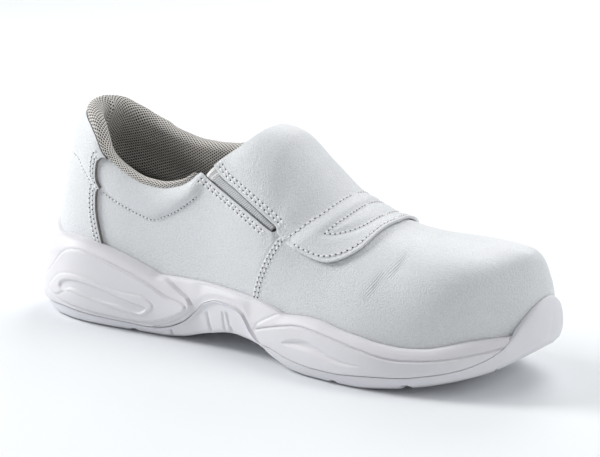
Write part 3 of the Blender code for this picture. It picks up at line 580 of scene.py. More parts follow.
def moulded(name, dark, light, rough):
    """Moulded polyurethane: matt white with a faint lilac cast and the fine grit of an etched mould."""
    material, tree, shader, place = new_material(name, IOR=1.49)
    here = place.outputs["Object"]
    cloud, grit = (
        node(tree, "ShaderNodeTexNoise", {"Vector": here, "Scale": 1 / size, "Detail": detail}).outputs["Fac"]
        for size, detail in ((0.025, 3.0), (0.0007, 2.0)))
    finish_material(tree, shader, cloud, colour(dark), colour(light), grit, 0.16, 0.0002,
                    (grit, rough - 0.08, rough + 0.08))
    return material


def spacer_mesh(name, yarn_dark, yarn_light, hole, pitch):
    """Knitted spacer mesh: beige-grey yarn round staggered holes painted near-black as shade, mapped in mm on
    the piece.
    """
    material, tree, shader, place = new_material(
        name, IOR=1.46, Roughness=0.85, Sheen_Weight=0.25, Sheen_Roughness=0.5)
    here = place.outputs["UV"]
    cell = node(tree, "ShaderNodeMapping", {"Vector": here, "Scale": (1 / pitch, 1 / (pitch * 1.5), 1)})
    reach = []
    for shift in ((0.0, 0.0, 0.0), (0.5, 0.5, 0.0)):
        at = cell.outputs["Vector"]
        for operation, inputs in (("ADD", {1: shift}), ("FRACTION", {}), ("SUBTRACT", {1: (0.5, 0.5, 0.0)}),
                                  ("MULTIPLY", {1: (1.0, 1.35, 0.0)})):
            at = node(tree, "ShaderNodeVectorMath", {0: at, **inputs}, operation=operation).outputs[0]
        reach.append(node(tree, "ShaderNodeVectorMath", {0: at}, operation="LENGTH").outputs["Value"])
    nearest = node(tree, "ShaderNodeMath", {0: reach[0], 1: reach[1]}, operation="MINIMUM")
    rim = node(tree, "ShaderNodeMapRange", {"Value": nearest.outputs[0], "From Min": 0.21, "From Max": 0.36},
               interpolation_type="SMOOTHSTEP").outputs["Result"]
    fibre = node(tree, "ShaderNodeTexNoise", {"Vector": here, "Scale": 4.0, "Detail": 3.0}).outputs["Fac"]
    yarn = node(tree, "ShaderNodeMix", {"Factor": fibre, 6: colour(yarn_dark), 7: colour(yarn_light)},
                data_type="RGBA")
    # the hole colour is painted shade standing in for the depth of the openings
    finish_material(tree, shader, rim, colour(hole), yarn.outputs[2], rim, 0.8, 0.0004)
    return material


def ribbed_elastic(name, dark, light):
    """Woven elastic: ribs across it 1.2 mm apart and a softer weave along it every 0.6 mm, its colour darker
    in the hollows as painted shade.
    """
    material, tree, shader, place = new_material(name, IOR=1.5, Roughness=0.75, Sheen_Weight=0.15)
    rib, weave = (
        node(tree, "ShaderNodeTexWave",
             {"Vector": place.outputs["UV"], "Scale": scale, "Distortion": wander, "Detail": 1.0},
             wave_type="BANDS", bands_direction=way).outputs["Fac"]
        for scale, wander, way in ((0.26, 0.4, "Y"), (0.52, 0.6, "X")))
    blend = node(tree, "ShaderNodeMath", {0: weave, 1: 0.4, 2: rib}, operation="MULTIPLY_ADD").outputs[0]
    # painted shade: the colour follows the ribs' height, darker in their hollows
    finish_material(tree, shader, blend, colour(dark), colour(light), blend, 0.6, 0.0003)
    return material


def felted(name, dark, light, rough, grain):
    """Fibrous surface such as a raw leather edge, thread or insole cloth: matt, mottled at a given grain."""
    material, tree, shader, place = new_material(name, IOR=1.5, Sheen_Weight=0.1)
    fibre = node(tree, "ShaderNodeTexNoise", {"Vector": place.outputs["Object"], "Scale": 1 / (grain * MM),
                                              "Detail": 4.0}).outputs["Fac"]
    finish_material(tree, shader, fibre, colour(dark), colour(light), fibre, 0.4, 0.0002,
                    (fibre, rough - 0.1, rough + 0.1))
    return material


UPPER = leather("white_pebbled_leather", "#D9DCDE", "#E4E6E8", 0.46)
OVERLAY = leather("white_overlay_leather", "#DBDEE0", "#E6E8EA", 0.44)
SOFT_SOLE = moulded("white_soft_polyurethane", "#E1E0E4", "#EAE9EC", 0.55)
HARD_SOLE = moulded("white_compact_polyurethane", "#DFDFE4", "#E8E8EC", 0.48)
# the last colour of each mesh is the painted shade of its holes
MESH = spacer_mesh("grey_spacer_mesh", "#D4D0C9", "#EEEAE4", "#1F1C1A", 1.65)
LINING = spacer_mesh("grey_lining_mesh", "#7C7772", "#9C978F", "#24211F", 1.5)
ELASTIC = ribbed_elastic("grey_ribbed_elastic", "#A2A5A7", "#D5D7D8")
TAPE = ribbed_elastic("white_folded_tape", "#DFE0E0", "#F4F4F2")
CUT_EDGE = felted("raw_leather_edge", "#B4B5B6", "#D2D3D4", 0.8, 0.5)
# dark edge colour of the heel counter: partly its grey backing, partly painted shade along the counter's edge
BACKED_EDGE_AND_SHADE = felted("raw_edge_grey_backing_and_painted_shade", "#6E6A66", "#94908C", 0.85, 0.5)
THREAD = felted("white_polyester_thread", "#F4F4F4", "#FCFCFC", 0.45, 0.3)
NEEDLE = felted("needle_hole_shadow", "#4A4C4E", "#6A6C6E", 0.9, 0.4)
INSOLE = felted("grey_insole_cloth", "#3A3A3B", "#5A5A5B", 0.9, 0.7)


# Upper


QUARTER_TOP, TONGUE_SIDE, SEAM = {}, {}, {}
for side_key in SIDES:
    slit_rows = np.array(SLIT, float)
    quarter_line = np.vstack([slit_rows[:, :2], QUARTER_END])
    QUARTER_TOP[side_key] = curve(trace(side_key, quarter_line)[0], quarter_line[:, 1])
    TONGUE_SIDE[side_key] = trace(side_key, np.vstack([slit_rows[1:, 2:], TONGUE_END]))
    seam_z, seam_x = np.array(VAMP_SEAM, float).T
    SEAM[side_key] = curve(seam_z, side_view(side_key, seam_x, seam_z))


def pick(side, lines, at):
    """Value of each side's own curve."""
    return np.where(side < 0, lines[LATERAL](at), lines[MEDIAL](at))


def panel_grid(columns, rows):
    """Places across a panel, from its lateral end to its medial one, places along it, and the side."""
    across, along = np.meshgrid(np.linspace(-1, 1, columns), np.linspace(0, 1, rows))
    return across, along, np.where(across <= 0, LATERAL, MEDIAL)


def pad_stitch_at(side, share):
    """Height of the padding's stitched line, which follows the collar of its side."""
    return pad_line(share) + (collar_at(side, share) - collar_lateral(share)) * 0.8


def slit_welt(from_slit):
    """Raised edge of the slit, dented under its two rows of stitches."""
    dents = sum(bell(from_slit - apart, 0.6) for apart in SLIT_STITCHES)
    return 0.3 * bell(from_slit - 0.9, 0.9) - 0.2 * dents


def counter_height(side, share, up):
    low, high = feather_at(share) - SEWN_UNDER, collar_at(side, share) - GAP
    return low + (high - low) * up


def v_branches(count):
    """Shares and angles along each branch of the V stitch."""
    fine = np.linspace(0, 1, count)
    for branch in V_STITCH:
        place = np.linspace(0, 1, len(branch))
        share, angle = (curve(place, column)(fine) for column in np.array(branch, float).T)
        yield share, np.radians(angle)


def pad_swell(side, share, z):
    """How far the padding swells the leather above its stitched line, with the dent along the stitch."""
    top, low = collar_at(side, share), pad_stitch_at(side, share)
    up = np.clip((z - low) / (top - low), 0, 1)
    fade = smooth((0.375 - share) / 0.03)
    full = 1.5 + 0.7 * smooth((share - 0.10) / 0.08)
    return fade * (full * np.sin(math.pi * up ** 0.8) ** 0.75 - 0.45 * bell(z - low, 1.3))


def quarter_points():
    """Both quarters in one panel, round the heel from vamp seam to vamp seam."""
    reach, up, side = panel_grid(381, 64)
    front = pick(side, SEAM, 29 + 35 * up)
    share = abs(reach) * (front + 0.014)
    low = feather_at(share) - SEWN_UNDER
    top = np.minimum(collar_at(side, share), pick(side, QUARTER_TOP, share))
    z = low + (top - low) * up
    welt = slit_welt((top - z) * 0.8) * smooth((share - 0.372) / 0.01) * smooth((0.512 - share) / 0.004)
    tuck = 0.6 * smooth((share - 0.5125) / 0.003) * smooth((up - 0.86) / 0.05)
    out = pad_swell(side, share, z) + welt - tuck - 0.7 * smooth((share - front) / 0.006)
    return skin(side, share, rise_angle(share, z), out)


def tongue_points():
    """Tongue over the instep, from slit to slit and from its back edge to under the flap."""
    across, along, side = panel_grid(161, 90)
    up = 1 - abs(across)
    share, angle = np.zeros_like(up), np.zeros_like(up)
    for key, edge in ((LATERAL, tongue_lateral), (MEDIAL, tongue_medial)):
        lines = []
        for slit, back, back_tip, front, front_tip in (
                (TONGUE_SIDE[key][0], tongue_share(up), tongue_share(0),
                 seam_share(up) + UNDER_FLAP, seam_share(0) + UNDER_FLAP),
                (TONGUE_SIDE[key][1], np.radians(edge(up)), math.radians(edge(0)),
                 np.radians(seam_angle(up)), math.radians(seam_angle(0)))):
            slit = np.r_[slit, front_tip]
            back = back + (slit[0] - back_tip) * (1 - up) ** 3
            bow = curve(np.linspace(0, 1, len(slit)), slit)(along) - (slit[0] + (slit[-1] - slit[0]) * along)
            lines.append(back + (front - back) * along + (1 - up) ** 2 * bow)
        share, angle = np.where(side == key, lines, (share, angle))
    angle = np.where(up >= 1, RIDGE, np.minimum(angle, RIDGE - 1e-6))
    swell = 0.8 * smooth(along / 0.25) * smooth((1 - along) / 0.3) * smooth(up / 0.25)
    roll = -1.6 * np.clip(1 - along / 0.14, 0, 1) ** 2 * smooth(up / 0.3)
    flat = skin(side, share, angle)
    from_slit = distance_to(flat, np.vstack([flat[:, 0], flat[:, -1]]))
    out = 0.25 + swell + roll + slit_welt(from_slit) - 0.8 * smooth((along - 0.94) / 0.06)
    return skin(side, share, angle, out)


def vamp_rear(key):
    """Vamp's rear edge, share by place up the section: the sewn seam, then under the flap to the ridge."""
    z = np.array([30, 36, 44, 52, 58, 63.0])
    share = SEAM[key](z)
    angle = rise_angle(share, z)
    up = np.array([0.25, 0.5, 0.75, 1.0])
    share = np.r_[share, seam_share(up) + 0.004]
    angle = np.r_[angle, np.radians(seam_angle(up))]
    low = rise_angle(share, feather_at(share) - SEWN_UNDER)
    return curve((angle - low) / (RIDGE - low), share)


VAMP_REAR = {key: vamp_rear(key) for key in SIDES}
JUNCTION = 0.36         # place up the section where the vamp's seam meets the slit
VAMP_COLUMNS = 521
CREASE_DEPTH = 0.55
(crease_line,) = curves(CREASE_LINE)


def vamp_points():
    """Vamp and toe in one panel from seam to seam round the toe, its columns closest at the creases."""
    place = np.linspace(-1, 1, 4001)
    crowd = np.cumsum(1 + 2.5 * bell(abs(place) - 0.58, 0.13))
    reach = np.interp(np.linspace(crowd[0], crowd[-1], VAMP_COLUMNS), crowd, place)
    reach[VAMP_COLUMNS // 2] = 0.0
    reach, up = np.meshgrid(reach, np.linspace(0, 1, 84))
    side = np.where(reach <= 0, LATERAL, MEDIAL)
    rear = pick(side, VAMP_REAR, up)
    share = 1 - abs(reach) * (1 - rear)
    low = rise_angle(share, feather_at(share) - SEWN_UNDER)
    angle = np.where(up >= 1, RIDGE, low + (RIDGE - low) * up)
    ahead = (share - rear) * EDGE_LENGTH
    lap = 0.95 * bell(ahead, 11) * smooth((JUNCTION + 0.05 - up) / 0.05)
    under = -0.5 * smooth((up - JUNCTION) / 0.05) * smooth((0.66 - share) / 0.05)
    shoulder = 2.2 * smooth((share - 0.67) / 0.1) * bell(up - 0.55, 0.2)
    shoulder += (1.4 * bell(share - 0.83, 0.05) * bell(up - 0.38, 0.22)
                 - 0.8 * bell(share - 0.725, 0.035) * bell(up - 0.4, 0.25))
    cap = 0.25 * smooth((share - 0.755) / 0.05) * smooth((up - 0.08) / 0.25)
    front = smooth((share - 0.86) / 0.09)
    points = skin(side, share, angle, lap + under + (shoulder + cap) * (1 - front) + creases(share, angle))
    pull = front * (0.25 * smooth((up - 0.08) / 0.25) * smooth((1 - up) / 0.2) - 0.8 * bell(up - 0.42, 0.2))
    points[..., 0] += by_side(side, OUT_X, share) * pull
    points[..., 1] += by_side(side, OUT_Y, share) * pull
    points[..., 2] += front * (1.2 * bell(up - 0.6, 0.2) + 2.0 * smooth((up - 0.55) / 0.4))
    return points


def creases(share, angle):
    """Fine creases across the vamp where it flexes behind the toe cap."""
    up = np.degrees(angle)
    along = (share - crease_line(up)) * EDGE_LENGTH
    spread = 1.5 + 0.012 * np.clip(up - 45, -15, 40)
    phase = along * 2 * math.pi / spread + 1.2 * np.sin(up * 0.13) + 0.9 * np.sin(up * 0.31 + along * 0.5)
    valley = (0.5 + 0.5 * np.cos(phase)) ** 1.2
    patch = 0.7 + 0.3 * np.sin(up * 0.24 + along * 0.6)
    deep = bell(along, 4.5) * bell(up - 45, 12)
    faint = 0.5 * bell(along, 8) * bell(up - 65, 12) + 0.35 * bell(along + 1, 7) * bell(up - 27, 8)
    return -CREASE_DEPTH * valley * patch * (deep + faint)


def flap_points():
    """Instep flap: sewn at its rear seam, quilted by the V stitch, its wavy edge standing off the vamp."""
    across, along, side = panel_grid(241, 56)
    up = 1 - abs(across)
    share = seam_share(up) + (wave_share(up) - seam_share(up)) * along
    angle = np.radians(seam_angle(up) + (wave_angle(up) - seam_angle(up)) * along)
    angle = np.where(up >= 1, RIDGE, angle)
    flat = skin(side, share, angle)
    from_v = distance_to(flat, np.vstack([skin(key, *line) for key in SIDES for line in v_branches(40)]))
    from_seam = distance_to(flat, flat[0])
    from_wave = distance_to(flat, flat[-1])
    rise = 0.45 + 1.45 * smooth(from_seam / 9) - 0.15 * bell(from_seam - 1.2, 0.8)
    rise = rise - 0.75 * bell(from_v, 2.6) - 0.35 * bell(from_wave - FLAP_STITCH, 0.8)
    return skin(side, share, angle, rise + 0.3 * bell(from_wave, 2.4))


def counter_points():
    """Heel counter wrapped round the back of the quarters."""
    across, up, side = panel_grid(181, 70)
    share = abs(across) * counter_front(up)
    z = counter_height(side, share, up)
    return skin(side, share, rise_angle(share, z), WALL + pad_swell(side, share, z))


def slit_lines(start, end, count):
    """Quarter's and tongue's edge of the slit in the side view, and the way across from one to the other."""
    rows = np.array(SLIT[1:], float)
    t = np.linspace(0, 1, len(rows))
    fine = np.linspace(start, end, count)
    quarter, tongue = (np.stack([curve(t, rows[:, k])(fine) for k in pair], -1) for pair in ((0, 1), (2, 3)))
    across = tongue - quarter
    return quarter, tongue, across / np.linalg.norm(across, axis=1)[:, None]


def gore_points(side):
    """Elastic sewn behind both edges of the slit, bulging up between them."""
    quarter, tongue, across = slit_lines(-0.06, 1.05, 90)
    spread = np.linspace(0, 1, 40)[None, :, None]
    flat = between((quarter - across * GORE_LAP)[:, None], (tongue + across * GORE_LAP)[:, None], spread)
    share = side_view(side, flat[..., 0], flat[..., 1])
    wide = np.linalg.norm(tongue - quarter, axis=1)[:, None]
    from_edge = np.minimum(spread[..., 0], 1 - spread[..., 0]) * (wide + 2 * GORE_LAP) - GORE_LAP
    return skin(side, share, rise_angle(share, flat[..., 1]), -WALL - GAP + 1.8 * smooth(from_edge / 1.0))


def gore_tab_points(side):
    """Folded white end of the elastic's tape at the top of the slit."""
    quarter, tongue, _ = slit_lines(-0.02, 0.17, 22)
    spread, along = np.linspace(0.04, 0.96, 18)[None, :, None], np.linspace(0, 1, 22)[:, None]
    flat = between(quarter[:, None], tongue[:, None], spread)
    share = side_view(side, flat[..., 0], flat[..., 1])
    across = np.sin(math.pi * spread[..., 0]) ** 0.35
    fold = np.sin(math.pi * along) ** 0.45 + 0.25 * bell(along - 0.35, 0.1) - 0.2 * bell(along - 0.6, 0.07)
    return skin(side, share, rise_angle(share, flat[..., 1]), -1.5 + 1.7 * across * fold)


def collar_points():
    """Padded collar swept round the topline from slit to slit, closed to a rounded end at each."""
    section = np.vstack(closed_spline(COLLAR_ROLL, 5))
    middle = section.mean(axis=0)
    tip = np.linspace(0.985, 1, 7)[1:]
    place = np.r_[-tip[::-1], np.linspace(-0.985, 0.985, 260), tip]
    side = np.where(place <= 0, LATERAL, MEDIAL)[:, None]
    end = np.clip((1 - abs(place)) / 0.015, 0, 1)
    swell = np.sqrt(np.clip(1 - (1 - end) ** 2, 0, 1))[:, None]
    share = (abs(place) * COLLAR_END)[:, None]
    out = middle[0] + (section[None, :, 0] - middle[0]) * swell
    up = middle[1] + (section[None, :, 1] - middle[1]) * swell
    lower = 1 - 0.38 * smooth((share - 0.10) / 0.08)
    out = out + 1.6 * smooth((0.19 - share) / 0.025) * smooth((up + 3.5) / 3.5) * smooth((out + 4) / 3)
    z = collar_at(side, share) + np.where(up > 0, up * lower, up)
    return closed(skin(side, share, rise_angle(share, z), out))


def build_upper():
    leather_faces = [UPPER, LINING, CUT_EDGE]
    panels = [(name, points(), leather_faces, 1.9, 0.45, "upper_leather", "upper") for name, points in (
        ("quarter_panel", quarter_points), ("tongue_panel", tongue_points), ("vamp_panel", vamp_points))]
    panels += [
        # the counter's rim takes the dark edge colour, partly painted shade
        ("heel_counter_panel", counter_points(), [OVERLAY, CUT_EDGE, BACKED_EDGE_AND_SHADE], 1.9, 0.5,
         "overlay_leather", "heel_counter"),
        ("instep_flap_panel", flap_points(), [OVERLAY, CUT_EDGE, OVERLAY], 1.5, 0.5,
         "overlay_leather", "instep_flap"),
    ]
    for name, side in (("lateral", LATERAL), ("medial", MEDIAL)):
        panels += [
            (f"elastic_{name}", gore_points(side), [ELASTIC] * 3, 1.0, 0, "elastic", f"gore_{name}"),
            (f"elastic_end_tab_{name}", gore_tab_points(side), [TAPE] * 3, 0.7, 0, "elastic"),
        ]
    for name, points, materials, thickness, rim, slot, *solids in panels:
        piece = lay_pattern(name, points, materials)
        if name == "vamp_panel":   # its two halves meet along the ridge
            merge_doubles(piece)
        face_out(piece)
        finish_panel(piece, thickness, rim)
        enter(piece, slot, *solids)
    collar = lay_pattern("padded_collar", collar_points(), [MESH])
    merge_doubles(collar)
    smooth_shade(collar, 60)
    enter(collar, "lining_mesh", "collar_lining", padded=0.7)


# Sole


STATION = np.linspace(0, 1, 561)


def toe_share(share):
    """How far along the toe bumper a section is: 0 where it starts, 1 round the tip."""
    return np.clip((share - 0.90) / 0.08, 0, 1)


def joint_at(share):
    """Height of the joint of the two soles inside their edge."""
    return np.minimum(part_at(share), floor_at(share) - BED_DROP)


def joint_back(share):
    """Midsole wall behind the outsole's raised edge, thinner at the toe."""
    return 2.7 - 1.2 * toe_share(share)


def ground_z(side, share, out):
    return ground_at(by_side(side, EDGE_X, share) + by_side(side, OUT_X, share) * out)


def tread_lift(points):
    """Height of the tread above the ground line: grooves across the sole and fine sipes between them."""
    x, y = points[..., 0], points[..., 1]
    lift = np.zeros_like(x)
    for place, width, slant, margin in GROOVES:
        ends = []
        for side in SIDES:
            share = np.interp(place, EDGES[side][1], EDGES[side][0])
            reach = float(ground_out(share)) - margin
            ends.append((place + slant * side, float(by_side(side, EDGE_Y, share)) + side * reach))
        (ax, ay), (bx, by) = ends
        t = (y - ay) / (by - ay)
        centre = ax + (bx - ax) * t
        bar = smooth((width / 2 + 0.4 - abs(x - centre)) / 0.8) * smooth(np.minimum(t, 1 - t) * 60 + 0.5)
        lift = np.maximum(lift, GROOVE_DEPTH * bar)
    for place in np.arange(20, 290, 9.0):
        wave = place + 1.6 * np.sin(y * 0.45)
        bar = smooth((0.7 - abs(x - wave)) / 0.5) * smooth((26 - abs(y)) / 3)
        lift = np.maximum(lift, SIPE_DEPTH * bar)
    return lift


def outsole_points():
    """Closed sections of the outsole from heel to toe: tread, one side, top edge, bed and the other side."""
    share = STATION[:, None]
    toe = toe_share(share)
    edge = ground_out(share)
    tread = edge - 2.0 - 2.9 * toe
    tuck = np.minimum(joint_back(share) + GAP, part_out(share) - 1)
    top = part_at(share) - GAP / 2
    lip = smooth((part_at(share) - feather_at(share) - 0.5) / 3)
    hug = tuck + (GAP - tuck) * lip
    shelf = np.where(lip > 0, np.minimum(feather_at(share) + GAP, top), top)
    bed = joint_at(share) - GAP / 2
    up = np.linspace(0, 1, 22)[None, :]
    arch = smooth((share - 0.335) / 0.05) * smooth((0.51 - share) / 0.03)
    side_out = edge + (part_out(share) - edge) * up ** 0.6 + 1.3 * toe * np.sin(math.pi * up)
    side_out = side_out - 1.3 * toe * up ** 8 - 0.9 * arch * smooth((1 - up) / 0.12)
    for low_place, high_place, wide, deep in SIDE_CUTS:
        aside = share - low_place - (high_place - low_place) * up
        side_out = side_out - deep * bell(aside, wide) * smooth((CUT_REACH - up) / 0.12)
    crown = side_out[:, -1:]
    out = np.concatenate([side_out, np.maximum(crown - 0.5, hug), hug, hug, tuck, tuck], axis=1)
    halves = []
    for side in SIDES:
        low = ground_z(side, share, edge) + 1.2
        z = low + (top - low) * up
        z = np.concatenate([z[:, :-1], top - 0.45, top, top, shelf, shelf, bed], axis=1)
        wall = wall_point(side, share, z, out)
        under = wall_point(side, share, ground_z(side, share, tread), tread)
        halves.append((under, wall))
    across = np.linspace(0, 1, 72)[None, :, None]
    base = between(halves[0][0], halves[1][0], across)
    base[..., 2] = ground_at(base[..., 0])
    base[..., 2] += tread_lift(base) * smooth((0.995 - share) / 0.02)
    for _, wall in halves:
        notch = tread_lift(wall)
        floor = ground_at(wall[..., 0]) + notch * 0.9
        wall[..., 2] = np.where((notch > 0.05) & (wall[..., 2] < floor), floor, wall[..., 2])
    line = np.linspace(1, 0, 6)[None, 1:-1, None]
    lateral, medial = (wall for _, wall in halves)
    return closed(base, medial, between(lateral[:, -1:], medial[:, -1:], line), lateral[:, ::-1])


def side_relief(share, z):
    """Moulded relief of the midsole's side: heel pad with its leaf and slot, forefoot wing with its scoop."""
    pad = inside_by(share, z, HEEL_PAD)
    leaf = inside_by(share, z, rounded(HEEL_LEAF))
    slot_rim = inside_by(share, z, rounded(SLOT_RIM, 4))
    slot = inside_by(share, z, rounded(HEEL_SLOT, 4))
    wing = inside_by(share, z, WING)
    face = inside_by(share, z, WING_FACE)
    scoop = inside_by(share, z, rounded(WING_SCOOP))
    relief = 1.5 * step(pad, 0.9) - 0.45 * bell(pad + 0.7, 0.6) - 0.5
    relief -= (0.9 * (1 - step(wing, 0.9)) + 0.4 * bell(wing + 0.7, 0.6)) * smooth((share - 0.36) / 0.03)
    relief += 1.0 * step(leaf, 1.0) - 0.5 * bell(leaf + 0.6, 0.55)
    relief += 0.4 * step(slot_rim, 0.7) - 0.25 * bell(slot_rim + 0.5, 0.5) - 1.1 * step(slot, 0.8)
    relief += 0.8 * step(face, 0.6) - 0.9 * bell(face + 0.5, 0.5)
    relief += -1.7 * smooth(scoop / 2.8 + 0.15)
    return relief


def ring_of_sides(share, z, out, steps):
    """Both sides of a section at the same heights, joined across at their last row and at their first."""
    lateral, medial = (wall_point(side, share, z, out) for side in SIDES)
    line = np.linspace(0, 1, steps)[None, 1:-1, None]
    return closed(lateral, between(lateral[:, -1:], medial[:, -1:], line), medial[:, ::-1],
                  between(medial[:, :1], lateral[:, :1], line))


def midsole_points():
    """Closed sections of the midsole from heel to toe: joint, side with its relief, rim and tray."""
    share = STATION[:, None]
    foot = np.minimum(part_at(share) + GAP / 2, feather_at(share))
    top = feather_at(share)
    shown = smooth((top - part_at(share) - 0.2) / 1.6)
    bed = joint_at(share) + GAP / 2
    tuck = np.minimum(joint_back(share), part_out(share) - 1 - GAP)
    up = np.linspace(0, 1, 76)[None, :]
    z = foot + (top - foot) * up
    full, crest = full_at(share), crest_at(share)
    band = (full_out(share) + rim_out(share)) / 2 + 1.2
    swell = np.sin(RIDGE * np.clip((z - foot) / np.maximum(full - foot, 0.5), 0, 1))
    lower = part_out(share) + (full_out(share) - part_out(share)) * swell
    middle = full_out(share) + (band - full_out(share)) * smooth((z - full) / np.maximum(crest - full, 0.5))
    upper = band + (rim_out(share) - band) * np.clip((z - crest) / np.maximum(top - crest, 0.5), 0, 1) ** 1.3
    out = np.where(z < full, lower, np.where(z < crest, middle, upper))
    radius = np.minimum(2.0, (top - foot) * 0.5 + 1e-6)
    bend = np.clip((z - (top - radius)) / radius, 0, 1)
    ease = smooth((top - z) / 1.4) * smooth((z - foot) / 0.8 + 0.3)
    out = out + side_relief(share + 0 * z, z) * ease - radius * (1 - np.sqrt(1 - bend**2))
    out = tuck + (out - tuck) * shown
    lip = np.full_like(top, GAP)
    rows_z = np.concatenate([bed, foot, z, top, (floor_at(share) + top) / 2, floor_at(share)], axis=1)
    rows_out = np.concatenate([tuck, tuck, out, lip, lip, lip], axis=1)
    return ring_of_sides(share, rows_z, rows_out, 6)


def insole_points():
    """Closed sections of the insole, its upper edge rounded."""
    share = STATION[::3][:, None]
    low, high = floor_at(share) + GAP, floor_at(share) + INSOLE_THICK
    z = np.concatenate([low, low + 1.5, high - 0.8, high, high - 0.1, high - 0.7, high - 1.0], axis=1)
    return ring_of_sides(share, z, -WALL - 0.6 - np.array([[0, 0, 0, 0.6, 2, 5, 9]]), 12)


def build_sole():
    for name, points, material, slot, solid in (
            ("moulded_outsole", outsole_points(), HARD_SOLE, "compact_sole", "outsole"),
            ("moulded_midsole", midsole_points(), SOFT_SOLE, "soft_sole", "midsole"),
            ("cloth_insole", insole_points(), INSOLE, "insole_fabric", "insole")):
        piece = lay_pattern(name, points, [material])
        merge_doubles(piece)
        smooth_shade(piece, 45)
        enter(piece, slot, solid)


# Stitching

RAY_START = 8.0         # height above the last from which the surface is sought
STITCH_GAP = 0.9        # bare needle hole between two threads
STITCH_LIFT = 0.00003   # metres by which thread and hole stand off the leather


def surface_of(name):
    """A finished piece as a surface for rays."""
    mesh = bpy.data.objects[name].data
    faces = [list(polygon.vertices) for polygon in mesh.polygons]
    return BVHTree.FromPolygons([v.co.copy() for v in mesh.vertices], faces)


def along_line(line, length, at):
    """Point of a sampled line at a distance along it."""
    return np.array([np.interp(at, length, line[:, axis]) for axis in range(3)])


def stitch_rows():
    """Rows of stitches: surface sewn through, stitch length, then side, shares and angles along the row."""
    rows = []
    for side in SIDES:
        seam_z = np.linspace(33.5, 66.0, 40)
        for ahead in (1.3, 3.5):
            share = SEAM[side](seam_z) + ahead / EDGE_LENGTH
            rows.append(("vamp_panel", 2.7, side, share, rise_angle(share, seam_z)))
        for panel, first, last in (("quarter_panel", 0.176, 0.364), ("heel_counter_panel", 0.012, 0.158)):
            share = np.linspace(first, last, 70)
            rows.append((panel, 2.3, side, share, rise_angle(share, pad_stitch_at(side, share))))
        up = np.linspace(0.06, 0.97, 80)
        for behind in (2.0, 4.4):
            share = counter_front(up) - behind / EDGE_LENGTH
            angle = rise_angle(share, counter_height(side, share, up))
            rows.append(("heel_counter_panel", 2.5, side, share, angle))
        quarter, tongue, across = slit_lines(0.0, 1.0, 60)
        for apart in SLIT_STITCHES:
            rows.append(("quarter_panel", 3.3, side, *trace(side, quarter - across * apart)))
            round_end = np.vstack([tongue + across * apart, np.array(TONGUE_END[1:3]) + (apart, 0.4 * apart)])
            rows.append(("tongue_panel", 3.3, side, *trace(side, round_end)))
        up = np.linspace(0.03, 1, 70)
        share = seam_share(up) + 1.2 / EDGE_LENGTH
        rows.append(("instep_flap_panel", 3.0, side, share, np.radians(seam_angle(up))))
        width = np.maximum((wave_share(up) - seam_share(up)) * EDGE_LENGTH, 4)
        slide = 1 - FLAP_STITCH / width
        share = seam_share(up) + (wave_share(up) - seam_share(up)) * slide
        angle = seam_angle(up) + (wave_angle(up) - seam_angle(up)) * slide
        rows.append(("instep_flap_panel", 3.0, side, share[8:], np.radians(angle[8:])))
        rows += [("instep_flap_panel", 2.6, side, *line) for line in v_branches(60)]
    return rows


def one_stitch():
    """A stitch as a short rounded bar of thread, and the needle hole at its end as a shallow dished disc
    painted dark, a painted shadow of the hole.
    """
    bpy.ops.object.select_all(action="DESELECT")
    bpy.ops.mesh.primitive_uv_sphere_add(segments=8, ring_count=6, radius=0.5)
    thread = bpy.context.object
    bpy.ops.object.mode_set(mode="EDIT")
    bpy.ops.mesh.select_all(action="SELECT")
    bpy.ops.transform.resize(value=(1.0, 1.1, 1.3))
    bpy.ops.object.mode_set(mode="OBJECT")
    bpy.ops.object.select_all(action="DESELECT")
    bpy.ops.mesh.primitive_cylinder_add(vertices=8, radius=0.45, depth=0.10, end_fill_type="TRIFAN")
    hole = bpy.context.object
    return thread, hole


def copies(name, model, places, material):
    """One joined piece of a small model copied to many places."""
    base = np.array([v.co for v in model.data.vertices])
    faces = [list(p.vertices) for p in model.data.polygons]
    corners, all_faces = [], []
    for k, (origin, axes) in enumerate(places):
        corners.append(origin + (base @ axes) * MM)
        all_faces += [[k * len(base) + v for v in face] for face in faces]
    mesh = bpy.data.meshes.new(name)
    mesh.from_pydata(np.vstack(corners).tolist(), [], all_faces)
    mesh.materials.append(material)
    mesh.shade_smooth()
    piece = bpy.data.objects.new(name, mesh)
    bpy.context.scene.collection.objects.link(piece)
    return piece


def build_stitching():
    threads, holes, surfaces = [], [], {}
    for panel, pitch, side, share, angle in stitch_rows():
        if panel not in surfaces:
            surfaces[panel] = surface_of(panel)
        line, away = skin(side, share, angle), skin(side, share, angle, RAY_START)
        length = np.r_[0, np.cumsum(np.linalg.norm(np.diff(line, axis=0), axis=1))]
        count = max(int(length[-1] / pitch), 1)
        for k in range(count):
            hits = []
            for at in ((k + 0.5) * pitch, k * pitch):
                start = metres(along_line(away, length, at))
                towards = Vector(metres(along_line(line, length, at)) - start).normalized()
                hits.append(surfaces[panel].ray_cast(Vector(start), towards, 2 * RAY_START * MM))
            ahead = along_line(line, length, (k + 1) * pitch) - along_line(line, length, k * pitch)
            for (where, normal, _, _), kept, long in zip(hits, (threads, holes), (pitch - STITCH_GAP, 1.0)):
                if where is None:
                    continue
                up = np.array(normal)
                run = ahead - up * (ahead @ up)
                run /= np.linalg.norm(run)
                axes = np.stack([run * long, np.cross(up, run), up])
                kept.append((np.array(where) + up * STITCH_LIFT, axes))
    thread, hole = one_stitch()
    enter(copies("thread_stitches", thread, threads, THREAD), "overlay_leather")
    # the needle holes are dark discs laid on the leather: painted shadow, not real holes
    enter(copies("needle_holes", hole, holes, NEEDLE), "overlay_leather")
    for model in (thread, hole):
        bpy.data.objects.remove(model)


# Studio


